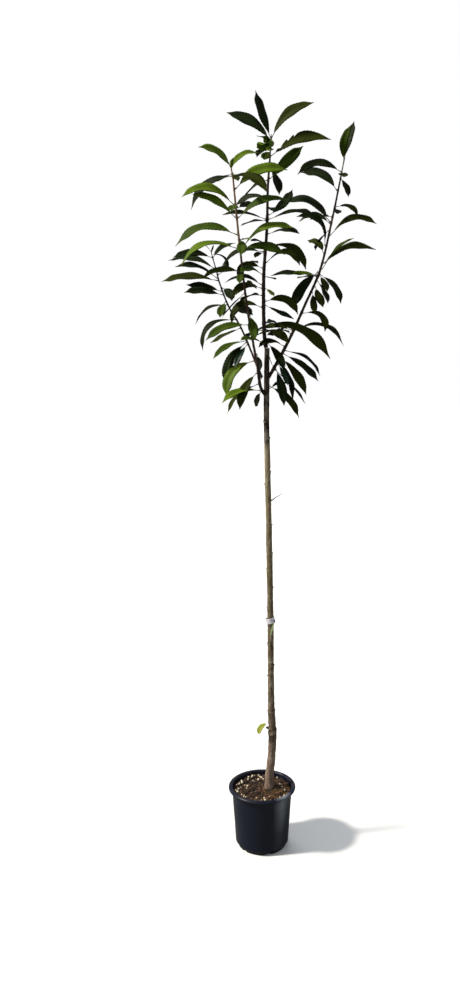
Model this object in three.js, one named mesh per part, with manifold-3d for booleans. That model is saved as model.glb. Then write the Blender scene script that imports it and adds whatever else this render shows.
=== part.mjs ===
// A young grafted sweet chestnut tree, 2.3 m tall, in a round nursery pot.
// Millimetres, +Z up. The origin is the centre of the pot's flat underside, and the front faces -Y.
import * as THREE from "three";
import { mergeVertices } from "three/addons/utils/BufferGeometryUtils.js";
import Module from "manifold-3d";

const wasm = await Module();
wasm.setup();

// Driving dimensions: the pot, as radii and heights
const POT_SIDES = 36;
const POT_HEIGHT = 199;
const POT_BASE_RADIUS = 76;
const POT_STEP_HEIGHT = 16;
const POT_STEP_RADIUS = 85.5;
const POT_BODY_RADIUS = 96;
const POT_LIP_RADIUS = 108;
const POT_LIP_DEPTH = 10;
const POT_WALL = 1.6;
const POT_FLOOR = 3;
const POT_ROUND = 3;
const NOTCH_COUNT = 6;
const NOTCH_SIZE = [13, 10, 8];
const NOTCH_REACH = 80;
const NOTCH_OVERCUT = 0.5;
const NOTCH_TURN = 285;

// Driving dimensions: the potting mix
const MIX_HEIGHT = 186.7;
const MIX_CLEARANCE = 0.5;
const MIX_EDGE_DROP = 5;
const MIX_FLAT_RADIUS = 26;
const MIX_RINGS = [20, 38, 54, 70, 84];
const LUMP_HEIGHT = 3.2;
const LUMP_SPANS = [9, 11, 6];
const LUMP_SINK = 0.4;

// Driving dimensions: the limbs. A path runs through its knots, [x, y, z], and a girth is [height, diameter].
const SEAT = 0.3;
const TRUNK_SIDES = 10;
const TRUNK_RINGS = 16;
const TRUNK_RING_GAP = 10;
const TRUNK_FOOT = 187;
const TRUNK_TOP = 1588;
const TRUNK_KNOTS = [[20.5, 5, 187], [33.5, 4, 345], [29, 2, 490], [26, 0, 800], [17, 0, 1230], [13.5, 0, 1400],
  [15, 0, 1588]];
const TRUNK_GIRTH = [[187, 31], [203, 27.5], [300, 25.5], [345, 26], [372, 26.5], [392, 25], [415, 24],
  [450, 22.8], [490, 20.5], [620, 19.6], [900, 19], [1100, 18.5], [1400, 17.3], [1588, 15.5]];
const BOUGH_SIDES = 8;
const BOUGH_RING_STEP = 30;
const BOUGHS = {
  leader: { from: 12.6, to: 5.6, knots: [[12, 0, 1588.7], [6, -2, 1645], [5, -8, 1790], [14, -2, 1925],
    [17, 8, 2045], [22, 10, 2115]] },
  bough_left: { from: 9.5, to: 8.8, knots: [[14, 0, 1442], [-3, -2, 1470], [-9, -4, 1500], [-13, -7, 1535]] },
  bough_left_inner: { from: 7.8, to: 4.8, knots: [[-13.3, -7.3, 1535.8], [-25, -20, 1596], [-44, -50, 1710],
    [-64, -79, 1880], [-75, -86, 1991], [-80, -86, 2045]] },
  bough_left_outer: { from: 6.4, to: 4, knots: [[-12, -6, 1528], [-37, 20, 1590], [-66, 40, 1655],
    [-100, 57, 1712], [-127, 74, 1780], [-138, 84, 1820]] },
  bough_right: { from: 10.8, to: 5.2, knots: [[16, 4, 1496], [42, 12, 1540], [87, 28, 1625], [128, 44, 1715],
    [176, 62, 1825], [211, 72, 1975], [229, 66, 2066]] },
};

// Driving dimensions: the spurs on the trunk, as heights above the ground
const BUDS_WEST = [395, 452, 568, 676, 792, 915, 1180, 1372];
const BUDS_EAST = [452, 604, 857, 965, 1054, 1218, 1322];
const BUD = { length: 5, rise: 4, diameter: 5 };
const GRAFT_HEIGHT = 385;
const GRAFT_STUB = { length: 9, rise: 12, diameter: 9 };
const DEAD_TWIG_HEIGHT = 1126;
const DEAD_TWIG = { length: 35, rise: 28, diameter: 3.6 };
const SPUR_SIDES = 5;
const SPUR_SHOULDER = 0.8;
const SPUR_TAPER = 0.66;

// Driving dimensions: the plain label round the trunk
const LABEL_HEIGHT = 751;
const LABEL_WIDTH = 17;
const LABEL_THICKNESS = 0.8;
const LABEL_SLACK = 4;
const LABEL_SHIFT = [-0.4, -1];
const LABEL_TILT = -17;
const TAIL_LENGTH = 44;
const TAIL_WIDTH = 6;
const TAIL_LEAN = 16;
const TAIL_TURN = 24;
const TAIL_LAP = 6;

// Driving dimensions: the leaves. The petiole, the half width and the thickness are shares of a leaf's length,
// and the fold is the rise of its edges for each unit of half width.
const PETIOLE_SHARE = 0.12;
const HALF_WIDTH_SHARE = 0.125;
const THICKNESS_SHARE = 1 / 46;
const PETIOLE_RADIUS = 1.3;
const LEAF_STATIONS = [0, PETIOLE_SHARE, 0.3, 0.58, 0.84];
const FOLD = 0.26;
const ROLL_WANDER = 4;
const LEAF_SEED = 1764;

// Driving dimensions: the shoots that the masses of leaves grow on
const SHOOT_RADIUS = 1.3;
const SHOOT_SIDES = 4;
const SHOOT_STEP = 30;
const SHOOT_ENDS = [6, 4];
const TOP_SHOOT_TIP = 2.4;
const TOP_SHOOT_RINGS = 3;
const TOP_SHOOT_GAP = 0.4;
const CLEARANCE = 0.45;

// The leaves, limb by limb, from its tip down. A word reads "height:start>end depth x length roll": the height
// in centimetres at which the leaf leaves its limb, the minute of a clock face that it first points to and the
// one that its tip points to, f or b for a turn to the front or the back in tens of degrees, its length in
// centimetres, and r or u for a roll that shows the front its upper side or its underside, in tens of degrees.
// A mass of leaves is the words from one height to another, all round the top of a limb and on its west or east
// side below that, where west is the viewer's left. A tip is where a limb's top shoot ends.
const CROWN = {
  leader: {
    masses: { top: [212, 219], high: [187, 212], low: [159, 187] },
    tip: [27, 10, 2190],
    leaves: `218:56>58b1x15r3 218:5>13f1x16r6 217.5:53>48b1x16r6 213:9>17f1x19r6 218:32>30f6x11r3
      217:44>38f7x12r2 216:40>35f7x12r3 210:23>28b6x12r3 216:50>40b7x13r4 207:7>8b1x14r9 202:47>40b3x11r5
      206.5:44>37b5x13r5 199:25>28f7x9r6 196.8:9>4b3x13r5 195.6:48>43f1x13r3 195.6:12>17f2x14r3
      195.2:47>43b5x12r3 191.5:13>20f4x12r4 189:45>41f6x8r5 188:14>27f1x15r4 186:42>33f6x7r6 186.3:47>36b1x15r3
      183.4:8>26f3x14r4 181.7:49>33f2x10r6 180:49>38f6x13r5 179.3:14>15b7x9r3 177:51>41b3x14r3 176:48>35f2x11r6
      176:22>23f3x4r4 174:48>38b6x14r3 172.3:12>26f1x12r6 171.1:20>19f2x10r3 170.6:49>31b1x13r5
      166.2:16>24f1x23r3 166:10>20b7x13r5 164:45>36b6x12r3 160.6:48>42f6x13r4 160:23>27f3x11r5
      164.2:18>24f5x12r6`,
  },
  bough_left_inner: {
    masses: { top: [205, 210], high: [187, 205], low: [156, 187] },
    tip: [-86, -85, 2079],
    leaves: `207.5:54>44f3x12r6 207.5:4>14b3x12r4 206:24>27f6x8r4 205.2:9>13b6x12r3 205.8:16>25f3x14r5
      206.2:42>45b4x10r5 205.5:44>34b1x16r5 197.8:52>39f2x17r5 202:7>16b1x17r6 198:30>31f7x12u6 197:9>10b6x13r6
      194.3:8>16f1x15r5 194.5:52>46f2x14r5 188.6:28>31f6x12r3 189.9:49>38b1x20r4 186.3:7>17f1x17r3
      186.1:48>36f1x19r3 186:13>20f1x13r6 188.4:17>21f7x9r3 182:14>20f6x9r3 180:46>39f3x14u3 180.3:30>31f6x9r3
      177:20>25f7x12u6 174:38>37b2x10r2 171:37>36f5x9u3 168:28>28f5x12r5 165.4:45>38f1x14r4 162:12>14f5x9r4
      157:28>29b5x12r6`,
  },
  bough_left_outer: {
    masses: { top: [181.5, 188], low: [154, 181.5] },
    tip: [-155, 94, 1880],
    leaves: `186:48>41f2x13r5 186:5>12b4x12r3 182.7:50>44b2x17r3 180.9:10>44f2x10r3 180:51>43f2x14r3
      179.3:47>43b1x18r4 176.8:21>28f6x12r6 176.1:48>46b2x12r5 175:47>43f3x13r5 172:45>35b2x13r3
      172.9:33>31f6x11r4 170:12>20b6x13u5 167.6:45>30f1x16r2 165:41>41b3x12r4 161.2:43>37f2x12r3
      160.7:38>30f1x15r5 160:36>33f3x9r5 155.2:42>30f1x15r5`,
  },
  bough_left: {
    masses: { foot: [146, 152.5] },
    leaves: `151.5:37>31f2x13r5 148.3:41>34b1x14r3 146.6:46>38f3x14r3 146.2:33>34b6x10r7`,
  },
  bough_right: {
    masses: { top: [206.5, 214], high: [187, 206.5], middle: [172, 187], low: [152, 172] },
    tip: [244, 56, 2148],
    leaves: `213.5:2>3b1x12r4 213:58>5f4x11r6 208.5:20>26b6x10r3 210:30>32f7x12r5 210:50>38f1x15r5
      205:55>45b2x14r7 200.6:14>27f3x9r5 200:30>32f7x10r5 197.6:49>44b6x12r4 196:55>43b3x22r4 195.6:53>40b3x12r5
      192.4:7>20f2x16r4 193.5:38>34b6x11r5 189.2:0>43f2x15r5 187.1:58>48b5x11r6 184.2:8>17b1x18r3
      179:23>26b5x11r4 182.5:5>11f3x14r3 180.2:46>43f2x15r3 180.4:46>43f3x9r4 181.3:38>33f2x15r5
      180.9:21>28f2x12r3 180.6:26>28f5x9r4 177.3:28>27f5x11r4 175.6:30>29f4x9r4 180:47>45b6x11r3
      169.5:14>31f3x12r3 165:45>38b6x12r3 164.9:12>25f1x17r2 164:48>41b2x13r3 163:52>45b7x12u3 161:50>43f5x10r5
      159.2:50>38f4x11r4 158.4:17>25b1x14r2 157.4:20>23f2x14r3 155.2:25>29b2x14r5 156.3:23>26f2x14r4
      154.3:25>27f3x8r4 153:27>29f2x12r5 153.3:55>57f4x4r5 152.7:22>24b2x15r2`,
  },
  trunk: {
    masses: { middle: [144, 150], foot: [40, 43] },
    leaves: `147:10>18b5x12r2 147.6:20>26b1x14r5 41:42>32f2x5r4`,
  },
};

// Turns a closed geometry into a solid that can be joined and cut.
function solid(geometry) {
  const bare = geometry.clone();
  bare.deleteAttribute("normal");
  bare.deleteAttribute("uv");
  const merged = mergeVertices(bare, 1e-4);
  const corners = merged.index.array;
  const kept = [];
  for (let i = 0; i < corners.length; i += 3) {
    const [a, b, c] = corners.slice(i, i + 3);
    if (a !== b && b !== c && c !== a) kept.push(a, b, c);
  }
  const mesh = new wasm.Mesh({
    numProp: 3,
    vertProperties: Float32Array.from(merged.attributes.position.array),
    triVerts: Uint32Array.from(kept),
  });
  return new wasm.Manifold(mesh);
}

// Turns a solid back into a geometry.
function geometryOf(body) {
  const { vertProperties, triVerts, numProp } = body.getMesh();
  const points = [];
  for (let i = 0; i < vertProperties.length; i += numProp) points.push(...vertProperties.slice(i, i + 3));
  const geometry = new THREE.BufferGeometry();
  geometry.setAttribute("position", new THREE.Float32BufferAttribute(points, 3));
  geometry.setIndex(new THREE.BufferAttribute(Uint32Array.from(triVerts), 1));
  geometry.computeVertexNormals();
  return geometry;
}

const join = (bodies) => bodies.reduce((all, body) => all.add(body));

// Keeps the largest piece of a solid, so that a loose scrap is dropped and a sealed hollow is filled.
function largest(body) {
  return body.decompose().reduce((best, piece) => (piece.volume() > best.volume() ? piece : best));
}

// Skins a row of rings into one closed geometry. The last ring may be a single point, for a pointed end.
function skin(rings) {
  const sides = rings[0].length;
  const last = rings.length - 1;
  const faces = [];
  for (let i = 0; i < last; i += 1) {
    const a = i * sides;
    const b = a + sides;
    const pointed = rings[i + 1].length === 1;
    for (let k = 0; k < sides; k += 1) {
      const next = (k + 1) % sides;
      faces.push(a + k, a + next, pointed ? b : b + next);
      if (!pointed) faces.push(a + k, b + next, b + k);
    }
  }
  const end = last * sides;
  for (let k = 1; k + 1 < sides; k += 1) faces.push(0, k + 1, k);
  for (let k = 1; k + 1 < rings[last].length; k += 1) faces.push(end, end + k, end + k + 1);
  const geometry = new THREE.BufferGeometry();
  const positions = rings.flat().flatMap((point) => point.toArray());
  geometry.setAttribute("position", new THREE.Float32BufferAttribute(positions, 3));
  geometry.setIndex(faces);
  return geometry;
}

// A repeatable random number from 0 to 1 for each call, from a whole-number seed.
function randomFrom(seed) {
  let state = seed;
  return () => {
    state = (state + 0x6d2b79f5) | 0;
    let mixed = Math.imul(state ^ (state >>> 15), 1 | state);
    mixed = (mixed + Math.imul(mixed ^ (mixed >>> 7), 61 | mixed)) ^ mixed;
    return ((mixed ^ (mixed >>> 14)) >>> 0) / 4294967296;
  };
}

// Reads a value off a list of [place, value] pairs, along a straight line between them.
function between(pairs, place) {
  const next = pairs.findIndex(([at]) => at >= place);
  if (next < 0) return pairs.at(-1)[1];
  if (next === 0) return pairs[0][1];
  const [a, low] = pairs[next - 1];
  const [b, high] = pairs[next];
  return low + ((high - low) * (place - a)) / (b - a);
}

const vector = (point) => new THREE.Vector3(...point);
const radians = THREE.MathUtils.degToRad;

// A limb is a path, the radius at a share t of it, and the number of stretches that its solid is made of.
function makeLimb(knots, from, to) {
  const path = new THREE.CatmullRomCurve3(knots.map(vector), false, "catmullrom", 0.5);
  const stretches = Math.ceil(path.getLength() / BOUGH_RING_STEP);
  return { path, radius: (t) => (from + (to - from) * t) / 2, stretches };
}

function makeTrunk() {
  const trunk = makeLimb(TRUNK_KNOTS, 0, 0);
  trunk.radius = (t) => between(TRUNK_GIRTH, trunk.path.getPoint(t).z) / 2;
  return trunk;
}

// The place, direction, eastward and backward vectors at a share t of a limb's path.
function frameAt({ path }, t) {
  const along = path.getTangent(t);
  const side = new THREE.Vector3(along.z, 0, -along.x).normalize();
  return { centre: path.getPoint(t), along, side, back: along.clone().cross(side) };
}

// The share of its path at which a rising limb passes a height.
function shareAt({ path }, height) {
  let low = 0;
  let high = 1;
  while (high - low > 1e-4) {
    const middle = (low + high) / 2;
    if (path.getPoint(middle).z < height) low = middle;
    else high = middle;
  }
  return low;
}

// A ring of points round a centre, from the eastward vector towards the back.
function ringRound({ centre, side, back }, radius, sides) {
  return Array.from({ length: sides }, (_, k) => {
    const turn = (2 * Math.PI * k) / sides;
    const point = centre.clone().addScaledVector(side, radius * Math.cos(turn));
    return point.addScaledVector(back, radius * Math.sin(turn));
  });
}

// The solid of a bough, with an extra skin on its sides and its ends where a clearance is wanted.
function boughSolid(bough, extra = 0) {
  const rings = Array.from({ length: bough.stretches + 1 }, (_, i) => {
    const t = i / bough.stretches;
    const frame = frameAt(bough, t);
    if (t === 0) frame.centre.addScaledVector(frame.along, -extra);
    if (t === 1) frame.centre.addScaledVector(frame.along, extra);
    return ringRound(frame, bough.radius(t) + extra, BOUGH_SIDES);
  });
  return solid(skin(rings));
}

// The trunk has level rings, at the heights of its girths and evenly between them, so that its foot and its top
// are flat cuts.
function trunkSolid(trunk, extra = 0) {
  const heights = TRUNK_GIRTH.map(([height]) => height);
  for (let i = 1; i < TRUNK_RINGS; i += 1) {
    const height = TRUNK_FOOT + ((TRUNK_TOP - TRUNK_FOOT) * i) / TRUNK_RINGS;
    if (heights.every((other) => Math.abs(other - height) > TRUNK_RING_GAP)) heights.push(height);
  }
  heights.sort((a, b) => a - b);
  const rings = heights.map((height) => {
    const centre = trunk.path.getPoint(shareAt(trunk, height)).setZ(height);
    const level = { centre, side: vector([1, 0, 0]), back: vector([0, 1, 0]) };
    return ringRound(level, between(TRUNK_GIRTH, height) / 2 + extra, TRUNK_SIDES);
  });
  return solid(skin(rings));
}

// A short pointed spur that stands on the trunk: a bud, the stub at the graft or the dead twig. The hand is -1
// for the west side and 1 for the east side.
function spurSolid(trunk, height, hand, { length, rise, diameter }) {
  const t = shareAt(trunk, height);
  const centre = trunk.path.getPoint(t);
  const tip = centre.clone().add(vector([hand * (trunk.radius(t) + length), 0, rise]));
  const along = tip.clone().sub(centre).normalize();
  const side = new THREE.Vector3(along.z, 0, -along.x);
  const frame = { centre, side, back: along.clone().cross(side) };
  const shoulder = { ...frame, centre: centre.clone().lerp(tip, SPUR_SHOULDER) };
  const root = ringRound(frame, diameter / 2, SPUR_SIDES);
  return solid(skin([root, ringRound(shoulder, (diameter / 2) * SPUR_TAPER, SPUR_SIDES), [tip]]));
}

// A geometry turned round the Z axis from a profile of [radius, height] pairs.
function turned(profile, sides) {
  const geometry = new THREE.LatheGeometry(profile.map(([r, z]) => new THREE.Vector2(r, z)), sides);
  return geometry.rotateX(Math.PI / 2);
}

// The pot: a tapered shell with a step near its foot, a rolled lip and drain notches round its flat underside.
function buildPot() {
  const inner = POT_BODY_RADIUS - POT_WALL;
  const lipFoot = POT_HEIGHT - POT_LIP_DEPTH;
  const profile = [
    [0, 0], [POT_BASE_RADIUS, 0], [POT_BASE_RADIUS + POT_ROUND, POT_ROUND],
    [POT_STEP_RADIUS - POT_WALL, POT_STEP_HEIGHT], [POT_STEP_RADIUS, POT_STEP_HEIGHT],
    [POT_BODY_RADIUS, lipFoot - POT_ROUND], [POT_BODY_RADIUS + POT_ROUND, lipFoot],
    [POT_LIP_RADIUS - POT_ROUND, lipFoot], [POT_LIP_RADIUS, lipFoot + POT_ROUND],
    [POT_LIP_RADIUS, POT_HEIGHT - POT_ROUND], [POT_LIP_RADIUS - POT_ROUND, POT_HEIGHT],
    [inner + POT_ROUND, POT_HEIGHT], [inner, POT_HEIGHT - POT_ROUND],
    [POT_STEP_RADIUS - POT_WALL, POT_STEP_HEIGHT + POT_WALL], [POT_STEP_RADIUS - 2 * POT_WALL, POT_STEP_HEIGHT],
    [POT_BASE_RADIUS, POT_FLOOR], [0, POT_FLOOR],
  ];
  let pot = solid(turned(profile, POT_SIDES));
  for (let i = 0; i < NOTCH_COUNT; i += 1) {
    const notch = new THREE.BoxGeometry(...NOTCH_SIZE);
    notch.translate(NOTCH_REACH, 0, NOTCH_SIZE[2] / 2 - NOTCH_OVERCUT);
    notch.rotateZ(radians(NOTCH_TURN) + (2 * Math.PI * i) / NOTCH_COUNT);
    pot = pot.subtract(solid(notch));
  }
  return geometryOf(pot);
}

// The height of the potting mix, which is lumpy, and level where the trunk stands on it.
function mixHeight(x, y) {
  const [trunkX, trunkY] = TRUNK_KNOTS[0];
  const away = (Math.hypot(x - trunkX, y - trunkY) - MIX_FLAT_RADIUS) / MIX_FLAT_RADIUS;
  const [wide, deep, fine] = LUMP_SPANS;
  const lumps = Math.sin(x / wide) * Math.cos(y / deep) + Math.sin((x - y) / fine) / 2;
  return MIX_HEIGHT + LUMP_HEIGHT * THREE.MathUtils.clamp(away, 0, 1) * (lumps - LUMP_SINK);
}

// The potting mix fills the pot, clear of its floor, its step and its wall.
function buildMix() {
  const foot = POT_STEP_RADIUS - POT_WALL - MIX_CLEARANCE;
  const top = POT_BODY_RADIUS - POT_WALL - MIX_CLEARANCE;
  const edge = MIX_HEIGHT - MIX_EDGE_DROP;
  const edgeRadius = THREE.MathUtils.mapLinear(edge, POT_STEP_HEIGHT, POT_HEIGHT, foot, top);
  const profile = [
    [0, POT_FLOOR + MIX_CLEARANCE], [POT_BASE_RADIUS - MIX_CLEARANCE, POT_FLOOR + MIX_CLEARANCE],
    [foot - POT_WALL, POT_STEP_HEIGHT], [foot, POT_STEP_HEIGHT + POT_WALL + MIX_CLEARANCE], [edgeRadius, edge],
    ...MIX_RINGS.toReversed().map((radius) => [radius, MIX_HEIGHT]), [0, MIX_HEIGHT],
  ];
  const geometry = turned(profile, POT_SIDES);
  const points = geometry.attributes.position;
  for (let i = 0; i < points.count; i += 1) {
    if (points.getZ(i) > MIX_HEIGHT - 1) points.setZ(i, mixHeight(points.getX(i), points.getY(i)));
  }
  return geometryOf(solid(geometry));
}

function buildTrunk(trunk) {
  const spurs = [
    ...BUDS_WEST.map((height) => spurSolid(trunk, height, -1, BUD)),
    ...BUDS_EAST.map((height) => spurSolid(trunk, height, 1, BUD)),
    spurSolid(trunk, GRAFT_HEIGHT, -1, GRAFT_STUB),
    spurSolid(trunk, DEAD_TWIG_HEIGHT, 1, DEAD_TWIG),
  ];
  return geometryOf(join([trunkSolid(trunk), ...spurs]));
}

// The label is a plain band that hangs loose and a little askew round the trunk, with a tail that hangs down
// from its front on the east side.
function buildLabel(trunk) {
  const t = shareAt(trunk, LABEL_HEIGHT);
  const { x, y } = trunk.path.getPoint(t);
  const inner = trunk.radius(t) + LABEL_SLACK;
  const outer = inner + LABEL_THICKNESS;
  const half = LABEL_WIDTH / 2;
  const profile = [[inner, -half], [outer, -half], [outer, half], [inner, half], [inner, -half]];
  const band = turned(profile, TRUNK_SIDES).rotateZ(Math.PI / TRUNK_SIDES).rotateY(radians(LABEL_TILT));
  const tail = new THREE.BoxGeometry(TAIL_WIDTH, LABEL_THICKNESS, TAIL_LENGTH);
  tail.rotateY(radians(TAIL_LEAN));
  tail.translate(0, -outer * Math.cos(Math.PI / TRUNK_SIDES), TAIL_LAP - half - TAIL_LENGTH / 2);
  tail.rotateZ(radians(TAIL_TURN));
  const label = geometryOf(solid(band).add(solid(tail)));
  return label.translate(x + LABEL_SHIFT[0], y + LABEL_SHIFT[1], LABEL_HEIGHT);
}

// Reads the leaf words of a limb. The roll of each leaf about its midrib wanders a little by a seeded rule.
function readLeaves(words, random) {
  return words.trim().split(/\s+/).map((word) => {
    const parts = word.match(/^([\d.]+):(\d+)>(\d+)([fb])(\d)x(\d+)([ru])(\d)$/);
    const [, height, start, end, turn, tens, length, hand, roll] = parts;
    return {
      height: height * 10,
      start: radians(start * 6),
      sweep: radians((((end - start + 90) % 60) - 30) * 6),
      depth: radians(tens * 10) * (turn === "f" ? 1 : -1),
      length: length * 10,
      roll: radians(roll * (hand === "r" ? 10 : -10) + ROLL_WANDER * (2 * random() - 1)),
    };
  });
}

// The direction of a leaf's midrib at a share of its length: it turns from its start to its end, most in the
// middle.
function leafDirection({ start, sweep, depth }, share) {
  const turn = start + sweep * THREE.MathUtils.smoothstep(share, 0, 1);
  const flat = Math.cos(depth);
  return new THREE.Vector3(Math.sin(turn) * flat, -Math.sin(depth), Math.cos(turn) * flat);
}

// The half width of a leaf at a share of its length: a thin petiole, then a long oval blade that narrows to its
// tip.
function leafHalfWidth({ length }, share) {
  const along = Math.max(0, (share - PETIOLE_SHARE) / (1 - PETIOLE_SHARE));
  return Math.max(PETIOLE_RADIUS, length * HALF_WIDTH_SHARE * Math.sin(Math.PI * along ** 0.9) ** 0.75);
}

// The way the upper face of a leaf looks: at right angles to the midrib, towards the sky, and turned from there
// to the front by the leaf's roll.
function leafFace(leaf, along) {
  const heading = leafDirection(leaf, 0.5);
  const outward = new THREE.Vector3(heading.x, heading.y, 0).normalize();
  const rise = Math.asin(THREE.MathUtils.clamp(along.z, -1, 1));
  const upper = outward.multiplyScalar(-Math.sin(rise)).add(vector([0, 0, Math.cos(rise)]));
  const face = upper.multiplyScalar(Math.cos(leaf.roll)).add(vector([0, -Math.sin(leaf.roll), 0]));
  return face.addScaledVector(along, -face.dot(along)).normalize();
}

// A leaf: a diamond section carried along the midrib from its foot to its tip, with the edges folded up.
function leafSolid(leaf, foot, extra = 0) {
  const rings = [];
  const point = foot.clone();
  let last = 0;
  for (const share of LEAF_STATIONS) {
    point.addScaledVector(leafDirection(leaf, (share + last) / 2), (share - last) * leaf.length);
    last = share;
    const along = leafDirection(leaf, share);
    const face = leafFace(leaf, along);
    const side = face.clone().cross(along);
    const half = leafHalfWidth(leaf, share);
    const inBlade = share > PETIOLE_SHARE;
    const thick = (inBlade ? (leaf.length * THICKNESS_SHARE) / 2 : PETIOLE_RADIUS) + extra;
    const middle = (across, up) => point.clone().addScaledVector(side, across).addScaledVector(face, up);
    const lift = inBlade ? half * FOLD : 0;
    rings.push([middle(half + extra, lift), middle(0, thick), middle(-half - extra, lift), middle(0, -thick)]);
  }
  point.addScaledVector(leafDirection(leaf, (1 + last) / 2), (1 - last) * leaf.length + extra);
  return solid(skin([...rings, [point]]));
}

// The middle of a side shoot at a height: just clear of its limb, on the west or the east side.
function shootFrame(bough, height, hand) {
  const t = shareAt(bough, height);
  const frame = frameAt(bough, t);
  frame.centre.addScaledVector(frame.side, hand * (bough.radius(t) + CLEARANCE + SHOOT_RADIUS));
  return frame;
}

// A mass on a side shoot, which lies close along its limb from below its lowest leaf to above its highest.
function sideMass(bough, hand, leaves, room) {
  const heights = leaves.map(({ height }) => height);
  const low = Math.min(...heights) - SHOOT_ENDS[0];
  const high = Math.max(...heights) + SHOOT_ENDS[1];
  const count = Math.ceil((high - low) / SHOOT_STEP);
  const rings = Array.from({ length: count + 1 }, (_, i) => {
    const frame = shootFrame(bough, low + ((high - low) * i) / count, hand);
    return ringRound(frame, SHOOT_RADIUS, SHOOT_SIDES);
  });
  const stem = solid(skin(rings)).subtract(room.clear);
  return massOf(stem, leaves, leaves.map(({ height }) => shootFrame(bough, height, hand).centre), room);
}

// A mass on the shoot that carries a limb on from its tip.
function topMass(bough, tip, leaves, room) {
  const foot = bough.path.getPoint(1).addScaledVector(bough.path.getTangent(1), TOP_SHOOT_GAP);
  const middle = foot.clone().lerp(vector(tip), 0.5);
  const shoot = makeLimb([foot.toArray(), middle.toArray(), tip], bough.radius(1) * 2, TOP_SHOOT_TIP);
  shoot.stretches = TOP_SHOOT_RINGS;
  const feet = leaves.map(({ height }) => shoot.path.getPoint(shareAt(shoot, Math.min(height, tip[2] - 1))));
  return massOf(boughSolid(shoot), leaves, feet, room);
}

// Joins leaves to their stem. A leaf that would touch a limb or an earlier mass is skipped.
function massOf(stem, leaves, feet, room) {
  const clear = leaves.map((leaf, i) => leafSolid(leaf, feet[i], CLEARANCE).intersect(room.taken).isEmpty());
  const kept = leaves.map((leaf, i) => leafSolid(leaf, feet[i])).filter((_, i) => clear[i]);
  const mass = largest(join([stem, ...kept]));
  room.taken = room.taken.add(mass);
  return mass;
}

// The side of its limb that a leaf sets out from: -1 for the west, 1 for the east.
function handOf(bough, leaf) {
  const { side } = frameAt(bough, shareAt(bough, leaf.height));
  return leafDirection(leaf, 0).dot(side) < 0 ? -1 : 1;
}

// Sorts each limb's leaves into masses and builds them, by name.
function buildMasses(limbs, room) {
  const random = randomFrom(LEAF_SEED);
  const masses = {};
  for (const [name, { masses: bands, tip, leaves: words }] of Object.entries(CROWN)) {
    const bough = limbs[name];
    const leaves = readLeaves(words, random);
    for (const [band, [from, to]] of Object.entries(bands)) {
      const members = leaves.filter(({ height }) => height >= from * 10 && height < to * 10);
      const title = `leaves_${name.replace("bough_", "")}_${band}`;
      if (band === "top") {
        masses[title] = topMass(bough, tip, members, room);
        continue;
      }
      for (const [side, hand] of [["west", -1], ["east", 1]]) {
        const own = members.filter((leaf) => handOf(bough, leaf) === hand);
        if (own.length) masses[`${title}_${side}`] = sideMass(bough, hand, own, room);
      }
    }
  }
  return masses;
}

function makeMaterial(color, roughness) {
  return new THREE.MeshStandardMaterial({ color, roughness, metalness: 0 });
}

const trunk = makeTrunk();
const limbs = { trunk };
for (const [name, { from, to, knots }] of Object.entries(BOUGHS)) limbs[name] = makeLimb(knots, from, to);

// Each limb is cut clear of those that it grows from.
const cutters = {
  leader: [],
  bough_left: [trunkSolid(trunk, SEAT)],
  bough_left_inner: [],
  bough_left_outer: [boughSolid(limbs.bough_left, SEAT), boughSolid(limbs.bough_left_inner, SEAT)],
  bough_right: [trunkSolid(trunk, SEAT)],
};
const boughs = {};
for (const [name, parents] of Object.entries(cutters)) {
  boughs[name] = largest(parents.reduce((body, parent) => body.subtract(parent), boughSolid(limbs[name])));
}
const room = {
  taken: join([trunkSolid(trunk), ...Object.values(boughs)]),
  clear: join([trunkSolid(trunk, SEAT), ...Object.keys(boughs).map((name) => boughSolid(limbs[name], SEAT))]),
};

const bark = makeMaterial(0x5a4636, 0.85);
const youngBark = makeMaterial(0x6b5238, 0.8);
const leafGreen = makeMaterial(0x4f7a22, 0.5);
const tree = new THREE.Group();

function place(name, geometry, material) {
  const mesh = new THREE.Mesh(geometry, material);
  mesh.name = name;
  tree.add(mesh);
}

place("pot", buildPot(), makeMaterial(0x1c202a, 0.45));
place("potting_mix", buildMix(), makeMaterial(0x3b2618, 0.95));
place("trunk", buildTrunk(trunk), bark);
place("trunk_label", buildLabel(trunk), makeMaterial(0xe8e6ee, 0.6));
for (const [name, body] of Object.entries(boughs)) place(name, geometryOf(body), youngBark);
for (const [name, body] of Object.entries(buildMasses(limbs, room))) place(name, geometryOf(body), leafGreen);

export default tree;
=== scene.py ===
"""A young grafted sweet chestnut tree, 2.3 m tall, in a round nursery pot.

Lengths are metres, apart from the classes that say millimetres. +Z is up, the origin is under the middle of
the pot, and the front faces -Y. West is the viewer's left and east the viewer's right.
"""

import logging
import math
import re
from collections.abc import Iterator, Sequence
from dataclasses import dataclass, field
from enum import Enum
from functools import cached_property
from typing import Any

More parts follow.
